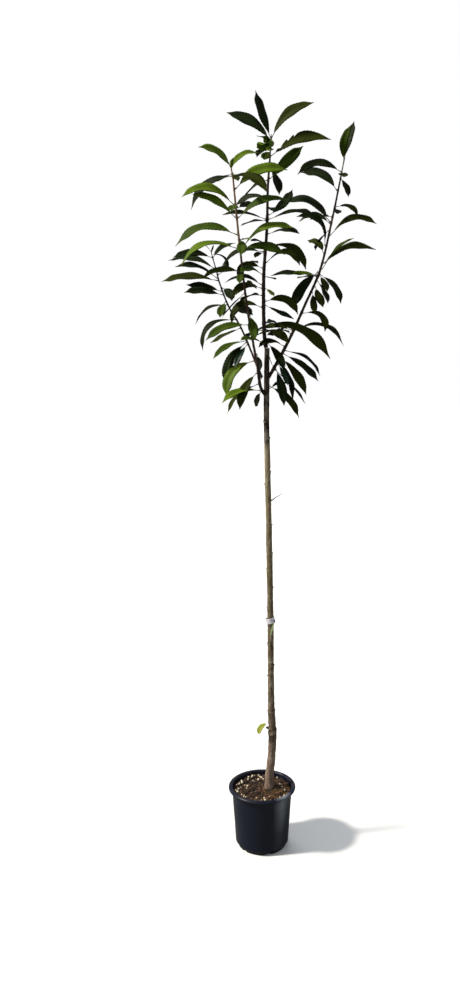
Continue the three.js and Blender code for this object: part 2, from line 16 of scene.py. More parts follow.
import bpy
import numpy as np
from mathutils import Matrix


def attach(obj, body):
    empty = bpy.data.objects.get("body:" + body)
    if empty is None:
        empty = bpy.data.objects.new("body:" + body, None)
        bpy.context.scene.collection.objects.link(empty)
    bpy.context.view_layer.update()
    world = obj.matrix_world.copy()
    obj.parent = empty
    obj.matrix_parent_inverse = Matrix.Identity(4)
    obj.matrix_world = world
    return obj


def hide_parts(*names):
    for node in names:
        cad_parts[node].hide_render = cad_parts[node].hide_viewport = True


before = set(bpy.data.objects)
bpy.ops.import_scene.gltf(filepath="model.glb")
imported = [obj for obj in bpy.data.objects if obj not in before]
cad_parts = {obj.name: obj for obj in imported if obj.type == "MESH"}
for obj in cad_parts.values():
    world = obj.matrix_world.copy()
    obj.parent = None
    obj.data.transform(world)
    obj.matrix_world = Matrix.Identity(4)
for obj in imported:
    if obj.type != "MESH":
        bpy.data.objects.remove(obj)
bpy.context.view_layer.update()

LOG = logging.getLogger("chestnut")
Array = np.ndarray
Triple = tuple[float, float, float]
Colour = Triple
Span = tuple[float, float]
Socket = bpy.types.NodeSocket
MM = 0.001
FULL_TURN = 2.0 * math.pi
UP = np.array([0.0, 0.0, 1.0])
FRONT = np.array([0.0, -1.0, 0.0])


class Slot(Enum):
    """The record's material slots."""

    POT = "pot_plastic"
    MIX = "potting_mix"
    BARK = "bark"
    SHOOT = "young_bark"
    LEAF = "leaf"
    LABEL = "label"


class Tint(Enum):
    """The colours that the leaves are dealt out in, which are lit and shaded copies of one leaf colour: b is
    painted sunlight, g a step less sunlit, o, t and d painted shade in growing depth, o with an olive and t
    with a bluish cast, and y the young leaves' own yellow. The value is the letter of a leaf's word.
    """

    # painted sunlight
    BRIGHT = "b"
    GREEN = "g"
    OLIVE = "o"
    # painted shade
    DARK = "d"
    TEAL = "t"
    PALE = "y"


@dataclass
class Surface:
    """A closed mesh surface.

    Attributes:
        points: one row of x, y, z for each vertex.
        quads: four vertex numbers for each four-sided face.
        tris: three vertex numbers for each triangle.
        marks: three values from 0 to 1 for each vertex, which a finish may read.
    """

    points: Array
    quads: Array
    tris: Array
    marks: Array | None = None

    @staticmethod
    def tube(rings: Array, marks: Array | None = None) -> "Surface":
        """Skins a row of rings and closes both ends with a pole at the mean of the end ring.

        Args:
            rings: an array of rings by points by x, y, z, each ring counter-clockwise about the way ahead.
            marks: three values for each point of each ring.

        Returns:
            The closed surface.
        """
        count, sides, _ = rings.shape
        points = np.vstack([rings.reshape(-1, 3), rings[0].mean(0), rings[-1].mean(0)])
        k = np.arange(sides)
        ahead = (k + 1) % sides
        row = (np.arange(count - 1) * sides)[:, None]
        quads = np.stack([row + k, row + ahead, row + sides + ahead, row + sides + k], -1).reshape(-1, 4)
        first = np.stack([np.full(sides, count * sides), ahead, k], -1)
        last = np.stack([np.full(sides, count * sides + 1), k, ahead], -1)
        last[:, 1:] += (count - 1) * sides
        if marks is not None:
            marks = np.vstack([marks.reshape(-1, 3), marks[0].mean(0), marks[-1].mean(0)])
        return Surface(points, quads, np.vstack([first, last]), marks)

    @staticmethod
    def joined(parts: Sequence["Surface"]) -> "Surface":
        """Joins surfaces into one, without merging vertices.

        Args:
            parts: the surfaces, all with marks or all without.

        Returns:
            The one surface.
        """
        starts = np.cumsum([0] + [len(part.points) for part in parts[:-1]])
        marked = parts[0].marks is not None
        return Surface(
            np.vstack([part.points for part in parts]),
            np.vstack([part.quads + start for part, start in zip(parts, starts)]),
            np.vstack([part.tris + start for part, start in zip(parts, starts)]),
            np.vstack([part.marks for part in parts]) if marked else None,
        )

    def make(self, name: str, finish: "Finish", slot: Slot, nodes: Sequence[str]) -> bpy.types.Object:
        """Makes the surface a smooth-shaded piece of the object.

        Args:
            name: the piece's name.
            finish: what the piece is finished with.
            slot: the record's slot for it; not used.
            nodes: the CAD nodes that it stands for.

        Returns:
            The new object, riding on the one body.
        """
        mesh = bpy.data.meshes.new(name)
        mesh.vertices.add(len(self.points))
        mesh.vertices.foreach_set("co", self.points.astype(np.float32).ravel())
        corners = np.concatenate([self.quads.ravel(), self.tris.ravel()])
        sizes = np.repeat([4, 3], [len(self.quads), len(self.tris)])
        mesh.loops.add(len(corners))
        mesh.loops.foreach_set("vertex_index", corners.astype(np.int32))
        mesh.polygons.add(len(sizes))
        mesh.polygons.foreach_set("loop_start", (np.cumsum(sizes) - sizes).astype(np.int32))
        mesh.update(calc_edges=True)
        mesh.validate()
        mesh.shade_smooth()
        if self.marks is not None:
            rgba = np.column_stack([self.marks, np.ones(len(self.marks))])
            layer = mesh.color_attributes.new("marks", "FLOAT_COLOR", "POINT")
            layer.data.foreach_set("color", rgba.astype(np.float32).ravel())
        mesh.materials.append(finish.material)
        piece = bpy.data.objects.new(name, mesh)
        bpy.context.scene.collection.objects.link(piece)
        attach(piece, "root")
        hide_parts(*nodes)
        triangles = 2 * len(self.quads) + len(self.tris)
        LOG.info("%s: %d triangles for %d nodes", name, triangles, len(nodes))
        return piece


def smoothstep(share: Array) -> Array:
    """A value that eases from 0 to 1 as share goes from 0 to 1."""
    share = np.clip(share, 0.0, 1.0)
    return share * share * (3.0 - 2.0 * share)


def unit(vectors: Array) -> Array:
    """Vectors of length 1 along the last axis."""
    return vectors / np.linalg.norm(vectors, axis=-1, keepdims=True)


def bump(value: Array, middle: Array | float, width: Array | float) -> Array:
    """A bell curve of height 1 round a middle."""
    return np.exp(-(((value - middle) / width) ** 2))


def around(sides: int) -> Array:
    """The angles of evenly spaced points round a circle."""
    return np.arange(sides) * FULL_TURN / sides


def angle_off(turn: Array, middle: Array | float) -> Array:
    """The angle from a middle, between minus and plus a half turn."""
    return np.angle(np.exp(1j * (turn - middle)))


def spokes(turn: Array) -> Array:
    """Level unit vectors at angles."""
    return np.stack([np.cos(turn), np.sin(turn), 0 * turn], -1)


@dataclass(frozen=True)
class Ripple:
    """Seeded roughness that closes round a tube: a mean of sine waves, times a depth.

    Each wave is sin(m turn + n along + phase), with a whole m up to lobes and an n up to 2 pi / pitch.

    Attributes:
        seed: the seed of the waves.
        pitch: the shortest wave along the tube.
        depth: how far it goes in and out.
        count: how many waves.
        lobes: the most waves round the tube.
        slowest: the least n, as a share of the most.
    """

    seed: int
    pitch: float
    depth: float = 1.0
    count: int = 24
    lobes: int = 9
    slowest: float = 0.15

    def at(self, turn: Array, along: Array) -> Array:
        """The roughness at places on the tube.

        Args:
            turn: the angles round it.
            along: the distances along it.

        Returns:
            Values of about minus to plus the depth.
        """
        rng = np.random.default_rng(self.seed)
        total = np.zeros(np.broadcast(turn, along).shape)
        for _ in range(self.count):
            lobe = rng.integers(-self.lobes, self.lobes + 1)
            rate = rng.uniform(self.slowest, 1.0) * FULL_TURN / self.pitch
            total += np.sin(lobe * turn + rate * along + rng.uniform(0.0, FULL_TURN))
        return self.depth * total / math.sqrt(self.count)


@dataclass(frozen=True)
class Band:
    """A soft level band on an upright stem: a bell curve over the height. Its place is in millimetres.

    Attributes:
        strength: its height or depth at the middle.
        above: how far its middle lies above the height that it belongs to.
        width: its half width.
    """

    strength: float
    above: float
    width: float

    def at(self, z: Array, height: Array | float) -> Array:
        """The band's strength at heights, for the height that it belongs to."""
        return self.strength * bump(z, height + self.above * MM, self.width * MM)


def ring_axes(along: Array) -> tuple[Array, Array]:
    """The axes of a ring that is square to a direction.

    Args:
        along: the direction, or one for each ring.

    Returns:
        The eastward and the backward unit vectors.
    """
    zeros = np.zeros(along.shape[:-1])
    side = unit(np.stack([along[..., 2], zeros, -along[..., 0]], -1))
    return side, np.cross(along, side)


def sweep(centres: Array, radii: Array, sides: int) -> Surface:
    """Carries a circle along a path: centre + radius (cos turn side + sin turn back).

    Args:
        centres: the path's points.
        radii: a radius for each point, or for each point and side.
        sides: how many points a ring has.

    Returns:
        A closed tube.
    """
    side, back = ring_axes(unit(np.gradient(centres, axis=0)))
    turn = around(sides)[:, None]
    radii = np.broadcast_to(radii if radii.ndim == 2 else radii[:, None], (len(centres), sides))[..., None]
    rays = np.cos(turn) * side[:, None, :] + np.sin(turn) * back[:, None, :]
    return Surface.tube(centres[:, None, :] + radii * rays)


@dataclass(frozen=True)
class Grain:
    """The shape that many small things share: a rounded block with a few dozen faces.

    Its surface is the unit sphere with each coordinate raised to the power square, below 1 for a blockier
    shape, drawn in towards its top by the share point, and with each vertex of each copy moved in or out by
    up to the share rough.
    """

    rows: int = 5
    sides: int = 8
    square: float = 1.0
    rough: float = 0.0
    point: float = 0.0

    def scatter(self, places: Array, axes: Array, sizes: Array, seed: int) -> Surface:
        """Makes a copy at each place.

        Args:
            places: the copies' centres.
            axes: for each copy, its three unit axes as rows.
            sizes: for each copy, its half sizes along those axes.
            seed: the seed of the roughness.

        Returns:
            All the copies as one surface.
        """
        rng = np.random.default_rng(seed)
        dip = np.linspace(0.5, self.rows - 0.5, self.rows)[:, None] * math.pi / self.rows
        turn = around(self.sides)
        level = -np.cos(dip)
        ball = np.sin(dip)[..., None] * spokes(turn)
        ball[..., 2] = level
        ball = np.sign(ball) * np.abs(ball) ** self.square
        ball[..., :2] *= 1.0 - self.point * (0.5 + 0.5 * level[..., None])
        swell = 1.0 + self.rough * rng.uniform(-1.0, 1.0, (len(places), self.rows, self.sides, 1))
        local = ball * swell * sizes[:, None, None, :]
        rings = np.einsum("nrsi,nij->nrsj", local, axes) + places[:, None, None, :]
        return Surface.joined([Surface.tube(copy) for copy in rings])


def random_axes(rng: np.random.Generator, count: int, tilt: float) -> Array:
    """Unit axes for lying things: turned any way about the vertical and tilted a little.

    Args:
        rng: what draws them.
        count: how many things.
        tilt: the most that a thing tilts by, as a slope.

    Returns:
        Three axes as rows, for each thing.
    """
    turn = rng.uniform(0.0, FULL_TURN, count)
    lean = rng.uniform(-tilt, tilt, (count, 2))
    first = unit(np.stack([np.cos(turn), np.sin(turn), lean[:, 0]], -1))
    second = unit(np.cross(np.stack([lean[:, 1], 0 * turn, 1 + 0 * turn], -1), first))
    return np.stack([first, second, np.cross(first, second)], 1)


def leaning_axes(lean: Array, beside: Array) -> Array:
    """Unit axes for things that stand along directions of their own.

    Args:
        lean: their unit directions.
        beside: for each or for all of them, a vector that isn't along it.

    Returns:
        Three axes as rows, for each thing.
    """
    across = unit(np.cross(lean, beside))
    return np.stack([np.cross(across, lean), across, lean], 1)


def turned(first: Array, second: Array, angle: float) -> tuple[Array, Array]:
    """Turns two coordinates in their plane, from the first axis to the second.

    Args:
        first: the first coordinate.
        second: the second coordinate.
        angle: how far, in degrees.

    Returns:
        Both coordinates after the turn.
    """
    cos = math.cos(math.radians(angle))
    sin = math.sin(math.radians(angle))
    return first * cos - second * sin, first * sin + second * cos


@dataclass(frozen=True)
class Mottle:
    """A pattern of soft noise over a piece.

    Attributes:
        scale: how fine it is, in waves to the metre.
        low: the level that counts as none of it.
        high: the level that counts as all of it.
        detail: how many finer layers it has.
        stretch: its scale along each axis, below 1 where it is drawn out.
    """

    scale: float
    low: float = 0.35
    high: float = 0.65
    detail: float = 4.0
    stretch: Triple = (1.0, 1.0, 1.0)


class Shader:
    """A writer of node materials round one Principled BSDF."""

    def __init__(self, name: str) -> None:
        """Starts a material with a bare Principled BSDF."""
        self.material = bpy.data.materials.new(name)
        self.material.use_nodes = True
        self.tree = self.material.node_tree
        self.tree.nodes.clear()
        self.bsdf = self.tree.nodes.new("ShaderNodeBsdfPrincipled")
        output = self.tree.nodes.new("ShaderNodeOutputMaterial")
        self.tree.links.new(self.bsdf.outputs[0], output.inputs[0])
        self.place = self.add("ShaderNodeTexCoord").outputs["Object"]

    def add(self, kind: str, inputs: dict[Any, Any] | None = None, **settings: Any) -> bpy.types.Node:
        """Adds a node.

        Args:
            kind: the node's type.
            inputs: for each input's name or number, a value or the socket that feeds it.
            settings: the node's own settings.

        Returns:
            The node.
        """
        node = self.tree.nodes.new(kind)
        for key, value in settings.items():
            setattr(node, key, value)
        for key, value in (inputs or {}).items():
            if isinstance(value, Socket):
                self.tree.links.new(value, node.inputs[key])
            else:
                node.inputs[key].default_value = value
        return node

    def noise(self, mottle: Mottle) -> Socket:
        """A pattern's bare noise over the piece's own place."""
        place = self.add("ShaderNodeMapping", {"Vector": self.place, "Scale": mottle.stretch}).outputs[0]
        inputs = {"Vector": place, "Scale": mottle.scale, "Detail": mottle.detail}
        return self.add("ShaderNodeTexNoise", inputs).outputs[0]

    def between(self, value: Socket, low: float, high: float, to: Span = (0.0, 1.0)) -> Socket:
        """Maps low to high of a value onto a range, clamped."""
        return self.add("ShaderNodeMapRange", {0: value, 1: low, 2: high, 3: to[0], 4: to[1]}).outputs[0]

    def pattern(self, mottle: Mottle, to: Span = (0.0, 1.0)) -> Socket:
        """A pattern's noise, mapped from its low and high levels onto a range."""
        return self.between(self.noise(mottle), mottle.low, mottle.high, to)

    def mix(self, factor: Socket, first: Any, second: Any) -> Socket:
        """Mixes two colours.

        Args:
            factor: the second colour's share.
            first: a triple or a socket.
            second: a triple or a socket.

        Returns:
            The mixed colour.
        """
        colours = [(*c, 1.0) if isinstance(c, tuple) else c for c in (first, second)]
        node = self.add("ShaderNodeMix", {0: factor, 6: colours[0], 7: colours[1]}, data_type="RGBA")
        return node.outputs[2]

    def ramp(self, value: Socket, stops: Sequence[tuple[float, Colour]]) -> Socket:
        """A colour read off a list of stops.

        Args:
            value: where to read it, from 0 to 1.
            stops: places from 0 to 1, in order, with their colours.

        Returns:
            The colour.
        """
        node = self.add("ShaderNodeValToRGB", {0: value})
        elements = node.color_ramp.elements
        while len(elements) < len(stops):
            elements.new(0.5)
        for element, (place, colour) in zip(elements, stops):
            element.position = place
            element.color = (*colour, 1.0)
        return node.outputs[0]

    def math(self, operation: str, first: Any, second: Any) -> Socket:
        """The sum, product or other operation of two values."""
        return self.add("ShaderNodeMath", {0: first, 1: second}, operation=operation).outputs[0]

    def times(self, first: Any, second: Any) -> Socket:
        """The product of two values."""
        return self.math("MULTIPLY", first, second)

    def axes(self) -> Sequence[Socket]:
        """The place's x, y and z."""
        return self.add("ShaderNodeSeparateXYZ", {0: self.place}).outputs

    def marks(self) -> Sequence[Socket]:
        """The three marks that the mesh carries at its vertices."""
        colour = self.add("ShaderNodeAttribute", attribute_name="marks").outputs["Color"]
        return self.add("ShaderNodeSeparateColor", {0: colour}).outputs

    def finish(self, colour: Socket, rough: Socket, relief: Socket, depth: float,
               specular: float = 0.5) -> bpy.types.Material:
        """Sets the surface.

        Args:
            colour: the base colour.
            rough: the roughness.
            relief: the height of the fine relief.
            depth: how far that relief stands out, in metres.
            specular: the specular level, the same all over.

        Returns:
            The material.
        """
        normal = self.add("ShaderNodeBump", {"Height": relief, "Distance": depth, "Strength": 1.0}).outputs[0]
        self.tree.links.new(colour, self.bsdf.inputs["Base Color"])
        self.tree.links.new(rough, self.bsdf.inputs["Roughness"])
        self.tree.links.new(normal, self.bsdf.inputs["Normal"])
        self.bsdf.inputs["Specular IOR Level"].default_value = specular
        return self.material


class Finish:
    """What a piece is finished with: one material, made when it is first asked for."""

    @cached_property
    def material(self) -> bpy.types.Material:
        """The finish's material."""
        return self.paint()

    def paint(self) -> bpy.types.Material:
        """Makes the material."""
        raise NotImplementedError


@dataclass(frozen=True)
class LeafFinish(Finish):
    """A leathery leaf: mottled, with paler veins and underside, blemishes and a soft gloss."""

    name: str
    fresh: Colour
    deep: Colour
    vein: Colour
    underside: Colour
    blemish: Colour = (0.2, 0.12, 0.04)
    gloss: float = 0.52
    specular: float = 0.35
    mottle: Mottle = Mottle(28.0)
    spots: Mottle = Mottle(210.0, 0.68, 0.78, 2.0)
    sheen: Mottle = Mottle(90.0, 0.3, 0.7)
    sheen_span: Span = (-0.07, 0.12)
    skin: Mottle = Mottle(900.0, detail=2.0)
    skin_depth: float = 0.2 * MM
    vein_strength: float = 0.4
    underside_strength: float = 0.75
    spot_strength: float = 0.5

    def paint(self) -> bpy.types.Material:
        """Mottles fresh into deep, then draws the veins, the underside and the blemishes from the marks."""
        shader = Shader(self.name)
        base = shader.mix(shader.pattern(self.mottle), self.fresh, self.deep)
        vein, under, worn = shader.marks()
        base = shader.mix(shader.times(vein, self.vein_strength), base, self.vein)
        base = shader.mix(shader.times(under, self.underside_strength), base, self.underside)
        spots = shader.times(shader.pattern(self.spots), self.spot_strength)
        base = shader.mix(shader.math("MAXIMUM", worn, spots), base, self.blemish)
        low, high = self.sheen_span
        rough = shader.pattern(self.sheen, (self.gloss + low, self.gloss + high))
        return shader.finish(base, rough, shader.noise(self.skin), self.skin_depth, self.specular)


@dataclass(frozen=True)
class BarkFinish(Finish):
    """Bark whose colour changes with height, with fine fissures, blotches, pale lenticels and marks."""

    name: str
    stops: Sequence[tuple[float, Colour]]
    lenticel: Colour = (0.42, 0.36, 0.28)
    foot: float = 0.0
    top: float = 2.4
    gloss: float = 0.62
    scar: Colour = (0.5, 0.44, 0.34)
    crease: Colour = (0.02, 0.014, 0.01)
    lichen: float = 0.0
    shake: Mottle = Mottle(45.0, 0.0, 1.0)
    shake_height: float = 12 * MM
    fissures: Mottle = Mottle(240.0, 0.32, 0.68, 5.0, (1.0, 1.0, 0.16))
    fissure_tones: tuple[Colour, Colour] = ((0.45, 0.42, 0.4), (1.15, 1.12, 1.08))
    blotches: Mottle = Mottle(62.0, 0.5, 0.64, 3.0, (1.0, 1.0, 0.55))
    dot_scale: float = 150.0
    dot_stretch: Triple = (1.0, 1.0, 1.7)
    dot_edge: Span = (0.1, 0.2)
    dot_strength: float = 0.8
    gloss_span: Span = (0.12, -0.08)
    depth: float = 0.6 * MM
    specular: float = 0.12

    def paint(self) -> bpy.types.Material:
        """Reads the colour off the height, shaken a little by noise, and lays spots and marks over it."""
        shader = Shader(self.name)
        height = shader.axes()[2]
        shake = shader.pattern(self.shake, (-self.shake_height, self.shake_height))
        share = shader.between(shader.math("ADD", height, shake), self.foot, self.top)
        base = shader.ramp(share, self.stops)
        fissures = shader.pattern(self.fissures)
        tones = shader.mix(fissures, *self.fissure_tones)
        base = shader.add("ShaderNodeMix", {0: 1.0, 6: base, 7: tones}, data_type="RGBA",
                          blend_type="MULTIPLY").outputs[2]
        base = shader.mix(shader.pattern(self.blotches, (0.0, self.lichen)), base, self.scar)
        dots = shader.add("ShaderNodeMapping", {"Vector": shader.place, "Scale": self.dot_stretch}).outputs[0]
        cells = shader.add("ShaderNodeTexVoronoi", {"Vector": dots, "Scale": self.dot_scale})
        spots = shader.between(cells.outputs["Distance"], *self.dot_edge, (self.dot_strength, 0.0))
        base = shader.mix(spots, base, self.lenticel)
        pale, dark, _ = shader.marks()
        base = shader.mix(pale, base, self.scar)
        base = shader.mix(dark, base, self.crease)
        low, high = self.gloss_span
        rough = shader.between(fissures, 0.0, 1.0, (self.gloss + low, self.gloss + high))
        relief = shader.math("ADD", fissures, shader.times(spots, self.dot_strength))
        return shader.finish(base, rough, relief, self.depth, self.specular)


@dataclass(frozen=True)
class PlainFinish(Finish):
    """A finish of two mixed tones, for grains, chips, stalks and the label."""

    name: str
    light: Colour
    dark: Colour
    scale: float
    gloss: float = 0.85
    depth: float = 0.4 * MM
    specular: float = 0.3
    gloss_spread: float = 0.05
    relief_scale: float = 4.0
    relief_detail: float = 3.0

    def paint(self) -> bpy.types.Material:
        """Mottles light into dark by noise."""
        shader = Shader(self.name)
        tone = Mottle(self.scale)
        noise = shader.noise(tone)
        base = shader.mix(shader.between(noise, tone.low, tone.high), self.dark, self.light)
        gloss = (self.gloss + self.gloss_spread, self.gloss - self.gloss_spread)
        rough = shader.between(noise, 0.3, 0.7, gloss)
        relief = shader.noise(Mottle(self.scale * self.relief_scale, detail=self.relief_detail))
        return shader.finish(base, rough, relief, self.depth, self.specular)


@dataclass(frozen=True)
class PotFinish(Finish):
    """Blue-black moulded plastic: satin, scuffed, with a painted sheen on its east side and dust of the mix
    near its lip and its foot.
    """

    name: str = "nursery_plastic"
    plastic: Colour = (0.005, 0.0076, 0.0195)
    worn: Colour = (0.014, 0.019, 0.034)
    dust: Colour = (0.09, 0.07, 0.05)
    # A paler band on the east side of the wall: painted sheen, the reflection of the bright ground painted
    # into the colour.
    painted_sheen: Colour = (0.26, 0.29, 0.34)
    height: float = 0.199
    cloud: Mottle = Mottle(26.0)
    scuffs: Mottle = Mottle(120.0, 0.6, 0.75, 6.0, (1.0, 1.0, 0.7))
    scuff_strength: float = 0.7
    painted_sheen_turn: float = -47.0
    painted_sheen_width: float = 0.36
    painted_sheen_heights: Span = (0.07, 0.17)
    painted_sheen_strength: Span = (0.12, 0.8)
    painted_sheen_cloud: Span = (0.2, 0.6)
    painted_sheen_least: float = 0.7
    foot_dust: Span = (0.022, 0.55)
    lip_dust: Span = (0.016, 0.35)
    dust_cloud: Span = (0.38, 0.62)
    dust_grains: Mottle = Mottle(700.0, 0.45, 0.6, 2.0)
    gloss: Span = (0.3, 0.4)
    scuff_gloss: float = 0.12
    skin: Mottle = Mottle(1300.0, detail=2.0)
    skin_depth: float = 0.08 * MM
    specular: float = 0.28

    def paint(self) -> bpy.types.Material:
        """Lays scuffs, a painted sheen on the east side, which stands in for the reflection of the bright
        ground, and dust at both ends over the plastic.
        """
        shader = Shader(self.name)
        x, y, height = shader.axes()
        cloud = shader.noise(self.cloud)
        scuffs = shader.pattern(self.scuffs)
        base = shader.mix(shader.times(scuffs, self.scuff_strength), self.plastic, self.worn)
        # The painted sheen: paler round a turn to the east and between two heights, clouded a little.
        turn = shader.math("ARCTAN2", y, x)
        away = shader.math("ABSOLUTE", shader.math("SUBTRACT", turn, math.radians(self.painted_sheen_turn)), 0.0)
        painted_sheen_band = shader.times(shader.between(away, 0.0, self.painted_sheen_width, (1.0, 0.0)),
                             shader.between(height, *self.painted_sheen_heights, self.painted_sheen_strength))
        painted_sheen_clouding = shader.between(cloud, *self.painted_sheen_cloud, (self.painted_sheen_least, 1.0))
        base = shader.mix(shader.times(painted_sheen_band, painted_sheen_clouding), base, self.painted_sheen)
        foot = shader.between(height, 0.0, self.foot_dust[0], (self.foot_dust[1], 0.0))
        lip = shader.between(height, self.height - self.lip_dust[0], self.height, (0.0, self.lip_dust[1]))
        dirt = shader.times(shader.math("ADD", foot, lip), shader.between(cloud, *self.dust_cloud))
        base = shader.mix(shader.times(dirt, shader.pattern(self.dust_grains)), base, self.dust)
        rough = shader.math("ADD", shader.between(cloud, 0.3, 0.7, self.gloss),
                            shader.times(scuffs, self.scuff_gloss))
        return shader.finish(base, rough, shader.noise(self.skin), self.skin_depth, self.specular)


@dataclass(frozen=True)
class FloorFinish(Finish):
    """A matt pale floor that throws little light back up, as open ground would."""

    name: str = "floor_paint"
    seen: Colour = (0.92, 0.92, 0.92)
    thrown: Colour = (0.2, 0.2, 0.18)
    grain: Mottle = Mottle(2.0, 0.3, 0.7)
    gloss: Span = (0.95, 0.85)
    depth: float = 0.1 * MM
    specular: float = 0.1

    def paint(self) -> bpy.types.Material:
        """Shows one colour and lights the plant with another."""
        shader = Shader(self.name)
        shown = shader.add("ShaderNodeLightPath").outputs["Is Camera Ray"]
        grain = shader.noise(self.grain)
        rough = shader.between(grain, self.grain.low, self.grain.high, self.gloss)
        base = shader.mix(shown, self.thrown, self.seen)
        return shader.finish(base, rough, grain, self.depth, self.specular)


# The leaf finishes are lit and shaded copies of one leaf colour: the bright one is painted sunlight, the dark
# one painted shade, and the green, olive and teal ones steps between; only the pale one is the young leaves'
# own colour.
LEAF_FINISHES = {
    Tint.BRIGHT: LeafFinish("leaf_painted_sun", (0.1, 0.165, 0.004), (0.05, 0.095, 0.003), (0.17, 0.25, 0.02),
                            (0.075, 0.11, 0.012), specular=0.12),
    Tint.GREEN: LeafFinish("leaf_green", (0.042, 0.074, 0.005), (0.02, 0.042, 0.003), (0.078, 0.125, 0.012),
                           (0.038, 0.06, 0.008), specular=0.05),
    Tint.OLIVE: LeafFinish("leaf_olive", (0.025, 0.034, 0.0025), (0.014, 0.021, 0.002), (0.04, 0.049, 0.006),
                           (0.026, 0.033, 0.005), specular=0.03),
    Tint.DARK: LeafFinish("leaf_painted_shade", (0.01, 0.018, 0.004), (0.0056, 0.0105, 0.003), (0.021, 0.033, 0.008),
                          (0.0135, 0.019, 0.0055), specular=0.05),
    Tint.TEAL: LeafFinish("leaf_teal", (0.006, 0.027, 0.011), (0.003, 0.013, 0.007), (0.04, 0.09, 0.035),
                          (0.014, 0.03, 0.016), gloss=0.34, specular=0.3),
    Tint.PALE: LeafFinish("leaf_pale", (0.28, 0.3, 0.03), (0.16, 0.2, 0.016), (0.36, 0.37, 0.08),
                          (0.2, 0.22, 0.04), specular=0.14),
}
# Light stalks paint sunlight, apart from those of the pale young leaves, whose own colour they are; dark
# stalks paint shade.
STALK_PAINTED_SUN_AND_PALE = PlainFinish("stalk_painted_sun_and_pale", (0.17, 0.2, 0.04), (0.09, 0.09, 0.025), 120.0, 0.5)
STALK_PAINTED_SHADE = PlainFinish("stalk_painted_shade", (0.03, 0.034, 0.012), (0.015, 0.012, 0.008), 120.0, 0.5)
BUD_FINISH = PlainFinish("bud_scales", (0.1, 0.07, 0.025), (0.035, 0.018, 0.011), 300.0, 0.55)


@dataclass(frozen=True)
class Path:
    """A smooth path through knots: a uniform cubic spline, with the ends reflected."""

    knots: Array
    samples: int = 2001
    step: float = 1e-4

    def at(self, share: Array) -> Array:
        """The points at shares of the path: each span is a cubic that leaves a knot along the line between
        the knots beside it.

        Args:
            share: from 0 at the first knot to 1 at the last, evenly by knots.

        Returns:
            One point for each share.
        """
        knots = self.knots
        padded = np.vstack([2 * knots[0] - knots[1], knots, 2 * knots[-1] - knots[-2]])
        place = np.clip(share, 0.0, 1.0) * (len(knots) - 1)
        span = np.minimum(place.astype(int), len(knots) - 2)
        t = (place - span)[..., None]
        before, start, end, after = (padded[span + i] for i in range(4))
        leave = (end - before) / 2
        arrive = (after - start) / 2
        rise = end - start
        return start + t * (leave + t * (3 * rise - 2 * leave - arrive + t * (leave + arrive - 2 * rise)))

    def share_at(self, height: Array | float) -> Array:
        """The shares at which a rising path passes heights, read off its samples."""
        shares = np.linspace(0.0, 1.0, self.samples)
        return np.interp(height, self.at(shares)[:, 2], shares)

    def point_at(self, height: Array | float) -> Array:
        """The points at which a rising path passes heights."""
        return self.at(self.share_at(height))

    def tangent(self, share: float) -> Array:
        """The path's unit direction.

        Args:
            share: where on the path.

        Returns:
            The direction from a step before to a step after.
        """
        low = max(0.0, share - self.step)
        high = min(1.0, share + self.step)
        return unit(self.at(np.array(high)) - self.at(np.array(low)))


@dataclass(frozen=True)
class Leaf:
    """One leaf of the crown.

    Attributes:
        height: the height at which it leaves its limb.
        start: the angle from straight up, clockwise, that it first points to, in radians.
        sweep: how far it turns from there to its tip.
        depth: its turn to the front.
        length: its length with the petiole.
        roll: its turn about the midrib towards the front.
        tint: its colour, a step between painted sunlight and painted shade.
        fullness: its width against that of a grown leaf.
        eaten: whether one edge has bites out of it.
    """

    height: float
    start: float
    sweep: float
    depth: float
    length: float
    roll: float
    tint: Tint
    fullness: float = 1.0
    eaten: bool = False

    def heading(self, share: Array | float) -> Array:
        """The midrib's direction, which turns from the start to the end, most in the middle.

        Args:
            share: shares of its length.

        Returns:
            A unit vector for each share.
        """
        turn = self.start + self.sweep * smoothstep(np.asarray(share, float))
        level = math.cos(self.depth)
        dip = np.full(turn.shape, -math.sin(self.depth))
        return np.stack([np.sin(turn) * level, dip, np.cos(turn) * level], -1)


class Twister:
    """The repeatable random numbers that the leaves are rolled by: a 32-bit mixing generator."""

    FULL = 0xFFFFFFFF
    STEP = 0x6D2B79F5

    def __init__(self, seed: int) -> None:
        """Starts from a seed."""
        self.state = seed

    def draw(self) -> float:
        """Draws a number: steps the state, then mixes its high bits down twice.

        Returns:
            The next number from 0 to 1.
        """
        self.state = (self.state + self.STEP) & self.FULL
        mixed = ((self.state ^ (self.state >> 15)) * (1 | self.state)) & self.FULL
        mixed ^= (mixed + (((mixed ^ (mixed >> 7)) * (61 | mixed)) & self.FULL)) & self.FULL
        return ((mixed ^ (mixed >> 14)) & self.FULL) / 2**32


